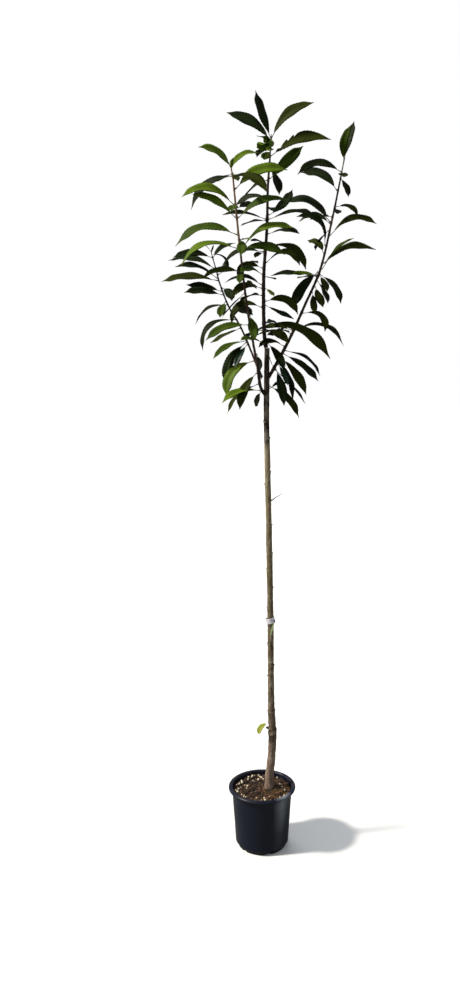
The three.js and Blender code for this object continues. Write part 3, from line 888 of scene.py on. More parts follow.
@dataclass(frozen=True)
class LeafRule:
    """How leaf words are read. A word is height:start>end depth x length roll tint: the height in
    centimetres, the minutes of a clock face that the leaf first and last points to, f or b for a turn to the
    front or the back in tens of degrees, the length in centimetres, r or u for a roll that shows the front
    its upper side or its underside, in tens of degrees, the tint's letter, and e where an edge is eaten.
    """

    pattern: str = r"([\d.]+):(\d+)>(\d+)([fb])(\d)x(\d+)([ru])(\d)([a-z])(e?)"
    minute: float = 6.0
    wander: float = 4.0
    young_length: float = 0.06
    young_fullness: float = 1.6

    def read(self, words: str, random: Twister) -> list[Leaf]:
        """Reads the words of one limb.

        Args:
            words: the words, with blanks between them.
            random: what rolls the leaves.

        Returns:
            The leaves in the words' order.
        """
        leaves = []
        for word in words.split():
            parts = re.fullmatch(self.pattern, word).groups()
            height, start, end, way, tens, centimetres, hand, roll, letter, eaten = parts
            turn = int(roll) * (10 if hand == "r" else -10) + self.wander * (2.0 * random.draw() - 1.0)
            minutes = (int(end) - int(start) + 90) % 60 - 30
            length = int(centimetres) / 100
            leaves.append(Leaf(
                height=float(height) / 100,
                start=math.radians(int(start) * self.minute),
                sweep=math.radians(minutes * self.minute),
                depth=math.radians(int(tens) * 10) * (1 if way == "f" else -1),
                length=length,
                roll=math.radians(turn),
                tint=Tint(letter),
                fullness=self.young_fullness if length < self.young_length else 1.0,
                eaten=bool(eaten),
            ))
        return leaves


@dataclass(frozen=True)
class Blade:
    """The shape of every leaf: a petiole, then a long oval blade with a fold at the midrib, pleats between
    its side veins and a forward tooth at the end of each. Sizes are shares of the leaf's length, apart from
    the thickness and, in millimetres, the midrib's radii. A bite has a place along the blade, a width and a
    depth.
    """

    petiole: float = 0.1
    half_width: float = 0.119
    belly: float = 0.84
    roundness: float = 0.82
    drawn: float = 0.5
    drawn_from: float = 0.68
    drawn_over: float = 0.3
    teeth_per_metre: float = 105.0
    fewest_teeth: int = 8
    rows_per_tooth: int = 3
    first_row: float = 0.4
    across: tuple[float, ...] = (1.0, 0.7, 0.36, 0.0, -0.36, -0.7, -1.0, -0.7, -0.36, 0.0, 0.36, 0.7)
    top_points: int = 7
    thickness: float = 0.5 * MM
    thin_half: float = 0.02
    thin_least: float = 0.3
    slant: float = 0.75
    tooth_out: tuple[float, ...] = (0.005, -0.0025, 0.0)
    tooth_ahead: tuple[float, ...] = (0.007, -0.002, 0.002)
    tooth_half: float = 0.05
    pleat: tuple[float, ...] = (0.0, 0.004, 0.005)
    pleat_rate: float = 1.15
    pleat_end: float = 0.9
    fold: float = 0.55
    droop: float = 0.32
    wave: float = 0.1
    wave_rate: float = 2.3
    wave_other: float = -0.8
    twist: float = 22.0
    twist_from: float = 0.3
    worn_from: Span = (0.93, 1.15)
    worn_over: float = 0.05
    bites: Sequence[Triple] = (
        (0.1, 0.055, 0.85), (0.235, 0.025, 0.6), (0.33, 0.016, 0.5))
    spine_steps: int = 121
    rib_end: float = 0.96
    rib_stations: int = 22
    rib_sides: int = 6
    rib_length: float = 0.16
    rib_radii: tuple[float, ...] = (1.7, 1.1, 0.95, 0.7, 0.2)
    rib_sink: float = 0.62
    rib_sink_from: float = 0.4

    def spine(self, leaf: Leaf, foot: Array, shares: Array) -> Array:
        """The midrib's points: the heading summed along the leaf from its foot.

        Args:
            leaf: the leaf.
            foot: where it leaves its limb.
            shares: shares of its length.

        Returns:
            A point for each share.
        """
        fine = np.linspace(0.0, 1.0, self.spine_steps)
        steps = leaf.heading((fine[1:] + fine[:-1]) / 2) * (leaf.length / (len(fine) - 1))
        line = np.vstack([np.zeros(3), np.cumsum(steps, 0)])
        return foot + np.stack([np.interp(shares, fine, line[:, i]) for i in range(3)], -1)

    def face(self, leaf: Leaf, along: Array, twist: Array) -> Array:
        """The way the upper side looks: square to the midrib, to the sky, rolled to the front and twisted.

        Args:
            leaf: the leaf.
            along: its midrib's directions.
            twist: a further roll at each of them.

        Returns:
            A unit vector for each direction.
        """
        ahead = leaf.heading(0.5)
        outward = unit(np.array([ahead[0], ahead[1], 0.0]))
        rise = np.arcsin(np.clip(along[:, 2], -1, 1))[:, None]
        upper = np.cos(rise) * UP - np.sin(rise) * outward
        roll = (leaf.roll + twist)[:, None]
        look = np.cos(roll) * upper + np.sin(roll) * FRONT
        return unit(look - (look * along).sum(-1, keepdims=True) * along)

    def outline(self, share: Array) -> Array:
        """Half the width along the blade: sin(pi share^belly)^roundness, drawn out to a tip.

        Args:
            share: shares of the blade's length.

        Returns:
            Half the width at each, as a share of the leaf's length.
        """
        swell = np.sin(math.pi * np.clip(share, 0.0, 1.0) ** self.belly)
        drawn = 1.0 - self.drawn * smoothstep((share - self.drawn_from) / self.drawn_over)
        return self.half_width * np.clip(swell, 0.0, 1.0) ** self.roundness * drawn

    def leaf_surface(self, leaf: Leaf, foot: Array, rng: np.random.Generator) -> Surface:
        """The blade. A point is spine + ahead along + out side + lift face: ahead slants the rows forward
        with the side veins, out is the outline with its teeth and its bites, and lift is the fold less its
        droop, the pleat of that row and a wave of the edge.

        Args:
            leaf: the leaf.
            foot: where it leaves its limb.
            rng: what twists and waves it.

        Returns:
            The closed blade, with the veins, the underside and the worn tip as marks.
        """
        teeth = max(self.fewest_teeth, round(leaf.length * self.teeth_per_metre))
        rows = np.arange(teeth * self.rows_per_tooth)
        blade = (rows + self.first_row) / len(rows)
        share = self.petiole + (1.0 - self.petiole) * blade
        across = np.array(self.across)
        under = (np.arange(len(across)) >= self.top_points).astype(float)
        if leaf.eaten:
            left = 1.0 - sum(depth * bump(blade, place, width) for place, width, depth in self.bites)
            across = np.minimum(across, left[:, None])
        spread = np.abs(across)
        along = leaf.heading(share)
        twist = math.radians(rng.uniform(-self.twist, self.twist)) * (share - self.twist_from)
        face = self.face(leaf, along, twist)
        side = np.cross(face, along)
        half = (self.outline(blade) * leaf.fullness)[:, None]
        kind = rows % self.rows_per_tooth
        fade = np.clip(half / self.tooth_half, 0.0, 1.0)
        edge = (spread == 1.0).astype(float)
        out = half * across + np.sign(across) * edge * np.take(self.tooth_out, kind)[:, None] * fade
        ahead = self.slant * half * spread + edge * np.take(self.tooth_ahead, kind)[:, None] * fade
        wave = np.sin(FULL_TURN * (self.wave_rate * share + rng.uniform(0, 1)))[:, None]
        wave = wave * np.where(across > 0, 1.0, self.wave_other)
        pleat = np.sin(math.pi * np.clip(spread * self.pleat_rate, 0, self.pleat_end))
        pleat = np.take(self.pleat, kind)[:, None] * fade * pleat
        lift = half * (self.fold * spread - self.droop * spread**2 + self.wave * wave * spread**2) + pleat
        thick = self.thickness * np.clip(half / self.thin_half, self.thin_least, 1.0)
        lift = lift * leaf.length - thick * under
        spine = self.spine(leaf, foot, share)[:, None, :]
        flat = ahead[..., None] * along[:, None, :] + out[..., None] * side[:, None, :]
        rings = spine + leaf.length * flat + lift[..., None] * face[:, None, :]
        vein = np.maximum((kind == 0)[:, None] * 1.0, (spread == 0.0) * 1.0) * (1.0 - edge)
        worn = smoothstep((share - rng.uniform(*self.worn_from)) / self.worn_over)[:, None]
        marks = np.stack(np.broadcast_arrays(vein, under[None, :], worn), -1)
        return Surface.tube(rings, marks)

    def rib_surface(self, leaf: Leaf, foot: Array, root: Array) -> Surface:
        """The petiole and midrib: a thin tube from inside the limb to near the tip, half sunk in the blade.

        Args:
            leaf: the leaf.
            foot: where it leaves its limb.
            root: a point inside the limb.

        Returns:
            The closed tube.
        """
        share = np.linspace(0.0, self.rib_end, self.rib_stations)
        size = math.sqrt(leaf.length / self.rib_length) * MM
        radius = np.interp(share, [0.0, 0.03, self.petiole, 0.4, 1.0], self.rib_radii) * size
        sink = radius * self.rib_sink * smoothstep(share / self.petiole - self.rib_sink_from)
        face = self.face(leaf, leaf.heading(share), 0.0 * share)
        line = self.spine(leaf, foot, share) - face * sink[:, None]
        return sweep(np.vstack([root, line]), np.append(radius[0], radius), self.rib_sides)


@dataclass
class Limb:
    """A bough with the shoot that carries it on, and the leaves that grow from it.

    Attributes:
        name: the CAD node's name.
        diameters: the bough's at its foot and its tip, in millimetres.
        knots: the bough's path, in millimetres.
        words: its leaves.
        bands: for each mass of leaves, the heights in centimetres that it runs between.
        finish: its bark.
        tip: where its top shoot ends, in millimetres, if it has one.
    """

    name: str
    diameters: Span
    knots: Sequence[Triple]
    words: str
    bands: dict[str, Span]
    finish: Finish
    tip: Triple | None = None
    sides: int = 16
    pitch: float = 2.5 * MM
    relief: float = 0.16 * MM
    relief_pitch: float = 12 * MM
    swelling: Band = Band(0.45 * MM, -2, 3.5)
    end_share: float = 0.4
    shoot_diameter: float = 2.4 * MM
    shoot_gap: float = 0.4 * MM
    shoot_from: float = 0.02
    stem_clearance: float = 1.75 * MM
    samples: tuple[int, int] = (400, 80)
    fewest_rings: int = 8

    @cached_property
    def path(self) -> Path:
        """The bough's path, in metres."""
        return Path(np.array(self.knots) * MM)

    def radius(self, share: Array) -> Array:
        """The bough's radius at shares of its path."""
        foot, tip = self.diameters
        return (foot + (tip - foot) * share) / 2 * MM

    @cached_property
    def shoot(self) -> Path:
        """The path of the shoot that carries the bough on from its tip."""
        foot = self.path.at(np.array(1.0)) + self.path.tangent(1.0) * self.shoot_gap
        tip = np.array(self.tip) * MM
        return Path(np.array([foot, (foot + tip) / 2, tip]))

    def band_of(self, leaf: Leaf) -> str:
        """Finds the mass that a leaf is in.

        Args:
            leaf: the leaf.

        Returns:
            The mass's name without its side.
        """
        height = round(leaf.height * 100, 6)
        inside = (band for band, (low, high) in self.bands.items() if low <= height < high)
        return next(inside, "top")

    def hand_of(self, leaf: Leaf) -> int:
        """Finds the side of the limb that a leaf sets out from.

        Args:
            leaf: the leaf.

        Returns:
            -1 for the west, 1 for the east.
        """
        share = float(self.path.share_at(leaf.height))
        side, _ = ring_axes(self.path.tangent(share))
        return -1 if leaf.heading(0.0) @ side < 0 else 1

    def node_of(self, leaf: Leaf) -> str:
        """Finds the CAD node that holds a leaf.

        Args:
            leaf: the leaf.

        Returns:
            The node's name.
        """
        band = self.band_of(leaf)
        title = f"leaves_{self.name.replace('bough_', '')}_{band}"
        return title if band == "top" else f"{title}_{'west' if self.hand_of(leaf) < 0 else 'east'}"

    def foot_of(self, leaf: Leaf) -> tuple[Array, Array]:
        """Finds where a leaf leaves the limb.

        Args:
            leaf: the leaf.

        Returns:
            That point, and the point inside the limb that its petiole starts from.
        """
        if self.band_of(leaf) == "top":
            foot = self.shoot.point_at(min(leaf.height, self.tip[2] * MM - MM))
            return foot, foot - UP * MM
        share = float(self.path.share_at(leaf.height))
        along = self.path.tangent(share)
        side, _ = ring_axes(along)
        centre = self.path.at(np.array(share))
        reach = float(self.radius(np.array(share))) + self.stem_clearance
        return centre + side * self.hand_of(leaf) * reach, centre - along * MM

    def centreline(self) -> tuple[Array, Array]:
        """Lays points evenly along the bough and its shoot.

        Returns:
            The points, and the radius at each.
        """
        share = np.linspace(0.0, 1.0, self.samples[0])
        line = self.path.at(share)
        radii = self.radius(share)
        if self.tip is not None:
            on = np.linspace(self.shoot_from, 1.0, self.samples[1])
            line = np.vstack([line, self.shoot.at(on)])
            radii = np.append(radii, np.interp(on, [0, 1], [radii[-1], self.shoot_diameter / 2]))
        length = np.append(0.0, np.cumsum(np.linalg.norm(np.diff(line, axis=0), axis=1)))
        even = np.linspace(0.0, length[-1], max(self.fewest_rings, round(length[-1] / self.pitch)))
        points = np.stack([np.interp(even, length, line[:, i]) for i in range(3)], -1)
        return points, np.interp(even, length, radii)

    def build(self, leaves: Sequence[Leaf]) -> None:
        """Makes the bark: the path's tube with a swelling under each leaf and rippled bark.

        Args:
            leaves: the limb's leaves.
        """
        line, radii = self.centreline()
        swell = sum(self.swelling.at(line[:, 2], leaf.height) for leaf in leaves)
        ripple = Ripple(len(self.name), self.relief_pitch, self.relief)
        rough = ripple.at(around(self.sides), np.arange(len(line))[:, None] * self.pitch)
        girth = (radii + swell)[:, None] + rough
        girth[-1] *= self.end_share
        sweep(line, girth, self.sides).make(f"{self.name}_bark", self.finish, Slot.SHOOT, [self.name])


YOUNG_BARK = BarkFinish("bark_purple", [(0.0, (0.045, 0.028, 0.022)), (0.75, (0.035, 0.022, 0.02)),
                                        (1.0, (0.05, 0.038, 0.02))], lenticel=(0.2, 0.16, 0.12))
SUNLIT_BARK = BarkFinish("bark_sunlit", [(0.0, (0.05, 0.03, 0.022)), (0.73, (0.07, 0.038, 0.027)),
                                         (0.79, (0.28, 0.17, 0.11)), (1.0, (0.34, 0.25, 0.14))],
                         lenticel=(0.6, 0.5, 0.36))
EAST_BARK = BarkFinish("bark_east", [(0.0, (0.05, 0.031, 0.024)), (0.84, (0.055, 0.036, 0.025)),
                                     (0.89, (0.12, 0.085, 0.04)), (1.0, (0.2, 0.15, 0.06))])

LEADER = Limb(
    "leader", (12.6, 5.6),
    [(12, 0, 1588.7), (6, -2, 1645), (5, -8, 1790), (14, -2, 1925), (17, 8, 2045), (22, 10, 2115)],
    """218:56>58b1x15r3d 218:5>13f1x16r6o 217.5:53>48b1x16r6d 213:9>17f1x19r6oe 218:32>30f6x11r3b
    217:44>38f7x12r2b 216:40>35f7x12r3b 210:23>28b6x12r3d 216:50>40b7x13r4d 207:7>8b1x14r9g
    202:47>40b3x11r5d 206.5:44>37b5x13r5d 199:25>28f7x9r6d 196.8:9>4b3x13r5d 195.6:48>43f1x13r3d
    195.6:12>17f2x14r3d 195.2:47>43b5x12r3d 191.5:13>20f4x12r4d 189:45>41f6x8r5d 188:14>27f1x15r4o
    186:42>33f6x7r6o 186.3:47>36b1x15r3d 183.4:8>26f3x14r4o 181.7:49>33f2x10r6o 180:49>38f6x13r5g
    179.3:14>15b7x9r3d 177:51>41b3x14r3d 176:48>35f2x11r6o 176:22>23f3x4r4y 174:48>38b6x14r3d
    172.3:12>26f1x12r6o 171.1:20>19f2x10r3d 170.6:49>31b1x13r5o 166.2:16>24f1x23r3o 166:10>20b7x13r5d
    164:45>36b6x12r3d 160.6:48>42f6x13r4g 160:23>27f3x11r5d 164.2:18>24f5x12r6o""",
    {"top": (212, 219), "high": (187, 212), "low": (159, 187)}, YOUNG_BARK, (27, 10, 2190),
)
LEFT_INNER = Limb(
    "bough_left_inner", (7.8, 4.8),
    [(-13.3, -7.3, 1535.8), (-25, -20, 1596), (-44, -50, 1710), (-64, -79, 1880), (-75, -86, 1991),
     (-80, -86, 2045)],
    """207.5:54>44f3x12r6b 207.5:4>14b3x12r4b 206:24>27f6x8r4o 205.2:9>13b6x12r3o 205.8:16>25f3x14r5o
    206.2:42>45b4x10r5d 205.5:44>34b1x16r5d 197.8:52>39f2x17r5b 202:7>16b1x17r6b 198:30>31f7x12u6g
    197:9>10b6x13r6d 194.3:8>16f1x15r5g 194.5:52>46f2x14r5b 188.6:28>31f6x12r3g 189.9:49>38b1x20r4g
    186.3:7>17f1x17r3b 186.1:48>36f1x19r3b 186:13>20f1x13r6g 188.4:17>21f7x9r3b 182:14>20f6x9r3d
    180:46>39f3x14u3g 180.3:30>31f6x9r3g 177:20>25f7x12u6o 174:38>37b2x10r2d 171:37>36f5x9u3d
    168:28>28f5x12r5g 165.4:45>38f1x14r4g 162:12>14f5x9r4o 157:28>29b5x12r6t""",
    {"top": (205, 210), "high": (187, 205), "low": (156, 187)}, SUNLIT_BARK, (-86, -85, 2079),
)
LEFT_OUTER = Limb(
    "bough_left_outer", (6.4, 4.0),
    [(-12, -6, 1528), (-37, 20, 1590), (-66, 40, 1655), (-100, 57, 1712), (-127, 74, 1780), (-138, 84, 1820)],
    """186:48>41f2x13r5d 186:5>12b4x12r3d 182.7:50>44b2x17r3d 180.9:10>44f2x10r3d 180:51>43f2x14r3d
    179.3:47>43b1x18r4o 176.8:21>28f6x12r6d 176.1:48>46b2x12r5d 175:47>43f3x13r5d 172:45>35b2x13r3d
    172.9:33>31f6x11r4g 170:12>20b6x13u5d 167.6:45>30f1x16r2d 165:41>41b3x12r4o 161.2:43>37f2x12r3g
    160.7:38>30f1x15r5d 160:36>33f3x9r5t 155.2:42>30f1x15r5b""",
    {"top": (181.5, 188), "low": (154, 181.5)}, YOUNG_BARK, (-155, 94, 1880),
)
LEFT_FOOT = Limb(
    "bough_left", (9.5, 8.8), [(14, 0, 1442), (-3, -2, 1470), (-9, -4, 1500), (-13, -7, 1535)],
    """151.5:37>31f2x13r5o 148.3:41>34b1x14r3o 146.6:46>38f3x14r3b 146.2:33>34b6x10r7d""",
    {"foot": (146, 152.5)}, YOUNG_BARK,
)
RIGHT = Limb(
    "bough_right", (10.8, 5.2),
    [(16, 4, 1496), (42, 12, 1540), (87, 28, 1625), (128, 44, 1715), (176, 62, 1825), (211, 72, 1975),
     (229, 66, 2066)],
    """213.5:2>3b1x12r4d 213:58>5f4x11r6g 208.5:20>26b6x10r3d 210:30>32f7x12r5o 210:50>38f1x15r5d
    205:55>45b2x14r7d 200.6:14>27f3x9r5o 200:30>32f7x10r5d 197.6:49>44b6x12r4d 196:55>43b3x22r4d
    195.6:53>40b3x12r5d 192.4:7>20f2x16r4o 193.5:38>34b6x11r5d 189.2:0>43f2x15r5d 187.1:58>48b5x11r6o
    184.2:8>17b1x18r3o 179:23>26b5x11r4d 182.5:5>11f3x14r3g 180.2:46>43f2x15r3d 180.4:46>43f3x9r4b
    181.3:38>33f2x15r5d 180.9:21>28f2x12r3d 180.6:26>28f5x9r4o 177.3:28>27f5x11r4o 175.6:30>29f4x9r4o
    180:47>45b6x11r3d 169.5:14>31f3x12r3o 165:45>38b6x12r3d 164.9:12>25f1x17r2d 164:48>41b2x13r3o
    163:52>45b7x12u3d 161:50>43f5x10r5o 159.2:50>38f4x11r4d 158.4:17>25b1x14r2d 157.4:20>23f2x14r3d
    155.2:25>29b2x14r5d 156.3:23>26f2x14r4o 154.3:25>27f3x8r4t 153:27>29f2x12r5d 153.3:55>57f4x4r5y
    152.7:22>24b2x15r2d""",
    {"top": (206.5, 214), "high": (187, 206.5), "middle": (172, 187), "low": (152, 172)}, EAST_BARK,
    (244, 56, 2148),
)


# The trunk's colours by height, as shares from its foot to its top. The sharp step to near black at 0.8,
# about 1.3 m up, is partly the young bark's own dark purple-brown and partly painted shadow, the crown's
# shadow on the trunk.
TRUNK_BARK_WITH_PAINTED_SHADOW = [(0.0, (0.24, 0.17, 0.135)), (0.06, (0.27, 0.2, 0.16)), (0.13, (0.15, 0.11, 0.08)),
            (0.3, (0.15, 0.115, 0.072)), (0.52, (0.2, 0.16, 0.095)), (0.72, (0.3, 0.25, 0.16)),
            (0.792, (0.34, 0.29, 0.2)), (0.802, (0.03, 0.02, 0.018)), (1.0, (0.028, 0.018, 0.016))]


@dataclass
class Trunk(Limb):
    """The trunk: its girth is read off a list of heights and diameters, and its foot and top are level cuts.

    Heights, diameters, sizes and radii in its lists are millimetres. Turns are radians from the east, by way
    of the back.
    """

    girth: Sequence[Span] = (
        (187, 31), (203, 27.5), (300, 25.5), (345, 26), (372, 26.5), (392, 25), (415, 24), (450, 22.8),
        (490, 20.5), (620, 19.6), (900, 19), (1100, 18.5), (1400, 17.3), (1588, 15.5))
    buds_west: Sequence[float] = (395, 452, 568, 676, 792, 915, 1180, 1372)
    buds_east: Sequence[float] = (452, 604, 857, 965, 1054, 1218, 1322)
    bud_swelling: Band = Band(0.9 * MM, -2, 5)
    bud_hollow: Band = Band(-0.35 * MM, 6, 4)
    bud_spread: float = 0.75
    bud_crescent: Band = Band(0.75, -3.5, 1.8)
    bud_line: Band = Band(0.7, -8, 1.8)
    bud_line_spread: float = 1.1
    bud_line_rise: float = 2 * MM
    bud_grain: Grain = Grain(7, 8, point=0.6)
    bud_size: Sequence[float] = (1.9, 1.9, 3.4)
    bud_growth: Span = (0.8, 1.15)
    bud_turns: Span = (-0.5, 0.1)
    bud_lean: float = 0.6
    bud_stand: float = 1.3 * MM
    fissures: Ripple = Ripple(7, 16 * MM, MM, 40)
    fissure_least: float = 0.12
    fissure_more: float = 0.3
    old_below: float = 0.3
    old_fade: float = 1.1
    fine_relief: Ripple = Ripple(11, 5 * MM, 0.12 * MM, 30, 16)
    long_relief: Ripple = Ripple(5, 90 * MM, 0.35 * MM, 8, 2)
    graft: float = 382 * MM
    graft_slant: float = 7 * MM
    graft_turn: float = 0.6
    knuckle: Band = Band(1.3 * MM, 0, 8)
    knuckle_lobes: int = 3
    knuckle_share: float = 0.35
    groove: Band = Band(-0.9 * MM, 11, 3.5)
    seam_pale: Band = Band(0.4, -2, 2.5)
    seam_dark: Band = Band(0.8, 10, 2.2)
    flare: float = 1.4 * MM
    flare_height: float = 34 * MM
    flare_lobes: int = 4
    flare_turn: float = 0.5
    ring_height: float = 617 * MM
    ring: Band = Band(0.7, 0, 2.2)
    ring_waver: float = 1.5 * MM
    gash_height: float = 672 * MM
    gash: Band = Band(0.9, 0, 11)
    gash_slope: float = 22 * MM
    gash_turn: float = 0.25
    gash_width: float = 0.22
    spur_steps: int = 14
    stub_height: float = 385 * MM
    stub_reach: Triple = (8 * MM, 3 * MM, 11 * MM)
    stub_radii: Sequence[float] = (5.0, 3.2, 1.4)
    stub_shoulder: float = 0.9
    stub_sides: int = 10
    stub_step: float = 0.63
    stub_relief: Ripple = Ripple(4, 0.3, 0.2 * MM)
    twig_height: float = 1126 * MM
    twig_reach: Span = (44 * MM, 28 * MM)
    twig_bends: Sequence[Span] = ((0.0, 0.0), (0.3, 0.2), (0.45, 0.42), (0.8, 0.72), (1.0, 1.0))
    twig_radii: Span = (2.5, 0.6)
    twig_sides: int = 7
    rows: int = 560
    round_sides: int = 40

    def radius(self, share: Array) -> Array:
        """The trunk's radius at shares of its path."""
        heights, diameters = np.array(self.girth).T
        return np.interp(self.path.at(np.asarray(share))[..., 2], heights * MM, diameters / 2 * MM)

    def near_buds(self, turn: Array, spread: float) -> Iterator[tuple[float, Array]]:
        """Goes through the buds, side by side.

        Args:
            turn: the angles round the trunk.
            spread: how wide a bud's mark is.

        Yields:
            A bud's height, and how much of its mark there is at each angle.
        """
        for buds, middle in ((self.buds_west, math.pi), (self.buds_east, 0.0)):
            near = bump(angle_off(turn, middle), 0.0, spread)
            for height in buds:
                yield height * MM, near

    def relief_at(self, turn: Array, z: Array, seam: Array) -> Array:
        """How far the bark stands out: fissures that are deeper where it is old, finer and longer waves, a
        swelling under each bud and a hollow over it, the graft's lobed knuckle and its groove, and the flare
        of the roots.

        Args:
            turn: the angles round the trunk.
            z: the rings' heights, as a column.
            seam: the height of the graft's seam at each angle.

        Returns:
            The relief for each ring and angle.
        """
        age = 1.0 - smoothstep((z - self.old_below) / self.old_fade)
        relief = (self.fissure_least + self.fissure_more * age) * self.fissures.at(turn, z)
        relief += self.fine_relief.at(turn, z) + self.long_relief.at(turn, z)
        for height, near in self.near_buds(turn, self.bud_spread):
            relief += near * (self.bud_swelling.at(z, height) + self.bud_hollow.at(z, height))
        lobes = 1.0 + self.knuckle_share * np.sin(self.knuckle_lobes * turn)
        relief += self.knuckle.at(z, seam) * lobes + self.groove.at(z, seam)
        low = smoothstep(1.0 - (z - z[0]) / self.flare_height)
        return relief + self.flare * low * np.maximum(0.0, np.sin(self.flare_lobes * turn + self.flare_turn))

    def scars(self, turn: Array, z: Array, seam: Array) -> Array:
        """The pale and dark marks of the bark: a pale crescent over a dark line under each bud, a pale ring
        and a dark gash on the front, and the graft's seam.

        Args:
            turn: the angles round the trunk.
            z: the rings' heights, as a column.
            seam: the height of the graft's seam at each angle.

        Returns:
            Three values from 0 to 1 for each ring and angle: pale, dark and nothing.
        """
        ring = self.ring_height + self.ring_waver * np.cos(2 * turn)
        pale = self.ring.at(z, ring) + self.seam_pale.at(z, seam)
        slant = angle_off(turn, -math.pi / 2) + (z - self.gash_height) / self.gash_slope
        gash = self.gash.at(z, self.gash_height) * bump(slant, self.gash_turn, self.gash_width)
        dark = self.seam_dark.at(z, seam) + gash
        for height, near in self.near_buds(turn, self.bud_line_spread):
            middle = height + self.bud_line_rise * near
            pale = pale + near * self.bud_crescent.at(z, middle)
            dark = dark + near * self.bud_line.at(z, middle)
        return np.stack([np.clip(pale, 0, 1), np.clip(dark, 0, 1), 0 * dark], -1)

    def build(self, leaves: Sequence[Leaf]) -> None:
        """Makes the bark as level rings with their relief and marks, then the buds and the spurs.

        Args:
            leaves: the trunk's leaves, which leave no swelling on it; not used.
        """
        heights = np.linspace(self.knots[0][2], self.knots[-1][2], self.rows) * MM
        share = self.path.share_at(heights)
        centres = self.path.at(share)
        centres[:, 2] = heights
        turn = around(self.round_sides)
        z = heights[:, None]
        seam = self.graft + self.graft_slant * np.cos(turn - self.graft_turn)
        girth = self.radius(share)[:, None] + self.relief_at(turn, z, seam)
        bark = Surface.tube(centres[:, None, :] + girth[..., None] * spokes(turn), self.scars(turn, z, seam))
        dots = (0.34, 0.3, 0.24)
        finish = BarkFinish("bark_trunk", TRUNK_BARK_WITH_PAINTED_SHADOW, dots, heights[0], heights[-1], 0.7, lichen=0.3)
        bark.make("trunk_bark", finish, Slot.BARK, [self.name])
        self.build_buds()
        dead = PlainFinish("dead_wood", (0.2, 0.17, 0.15), (0.05, 0.035, 0.03), 260.0)
        Surface.joined([self.stub(), self.twig()]).make("trunk_spurs", dead, Slot.BARK, [self.name])

    def build_buds(self) -> None:
        """Makes the buds, each a small pointed grain that leans up and out."""
        rng = np.random.default_rng(21)
        heights = np.array([*self.buds_west, *self.buds_east]) * MM
        hands = np.repeat([-1.0, 1.0], [len(self.buds_west), len(self.buds_east)])
        share = self.path.share_at(heights)
        out = unit(np.stack([hands, rng.uniform(*self.bud_turns, len(hands)), 0 * hands], -1))
        axes = leaning_axes(unit(out * self.bud_lean + UP), out)
        places = self.path.at(share) + out * (self.radius(share) + self.bud_stand)[:, None] + UP * MM
        sizes = np.array(self.bud_size) * MM * rng.uniform(*self.bud_growth, (len(hands), 1))
        buds = self.bud_grain.scatter(places, axes, sizes, 3)
        buds.make("trunk_buds", BUD_FINISH, Slot.BARK, [self.name])

    def stub(self) -> Surface:
        """Makes the cut stub at the graft, which leans up to the west.

        Returns:
            A closed tube from the trunk's middle.
        """
        wide = float(self.radius(self.path.share_at(self.stub_height)))
        west, front, rise = self.stub_reach
        step = np.linspace(0.0, 1.0, self.spur_steps)[:, None]
        line = self.path.point_at(self.stub_height) + step * np.array([-wide - west, -front, rise])
        radii = np.interp(step, [0.0, self.stub_shoulder, 1.0], self.stub_radii) * MM
        rough = self.stub_relief.at(np.arange(self.stub_sides) * self.stub_step, step)
        return sweep(line, radii + rough, self.stub_sides)

    def twig(self) -> Surface:
        """Makes the dead twig, which bends up to the east.

        Returns:
            A closed tube from the trunk's middle.
        """
        step = np.linspace(0.0, 1.0, self.spur_steps)
        bends = np.array(self.twig_bends).T
        even = np.linspace(0.0, 1.0, len(self.twig_bends))
        across, rise = (np.interp(step, even, bend) * reach for bend, reach in zip(bends, self.twig_reach))
        line = self.path.point_at(self.twig_height) + np.stack([across, 0 * step, rise], -1)
        return sweep(line, np.linspace(*self.twig_radii, len(step)) * MM, self.twig_sides)


TRUNK = Trunk(
    "trunk", (0.0, 0.0),
    [(20.5, 5, 187), (33.5, 4, 345), (29, 2, 490), (26, 0, 800), (17, 0, 1230), (13.5, 0, 1400),
     (15, 0, 1588)],
    """147:10>18b5x12r2d 147.6:20>26b1x14r5o 41:42>32f2x5r4y""", {"middle": (144, 150), "foot": (40, 43)},
    YOUNG_BARK,
)


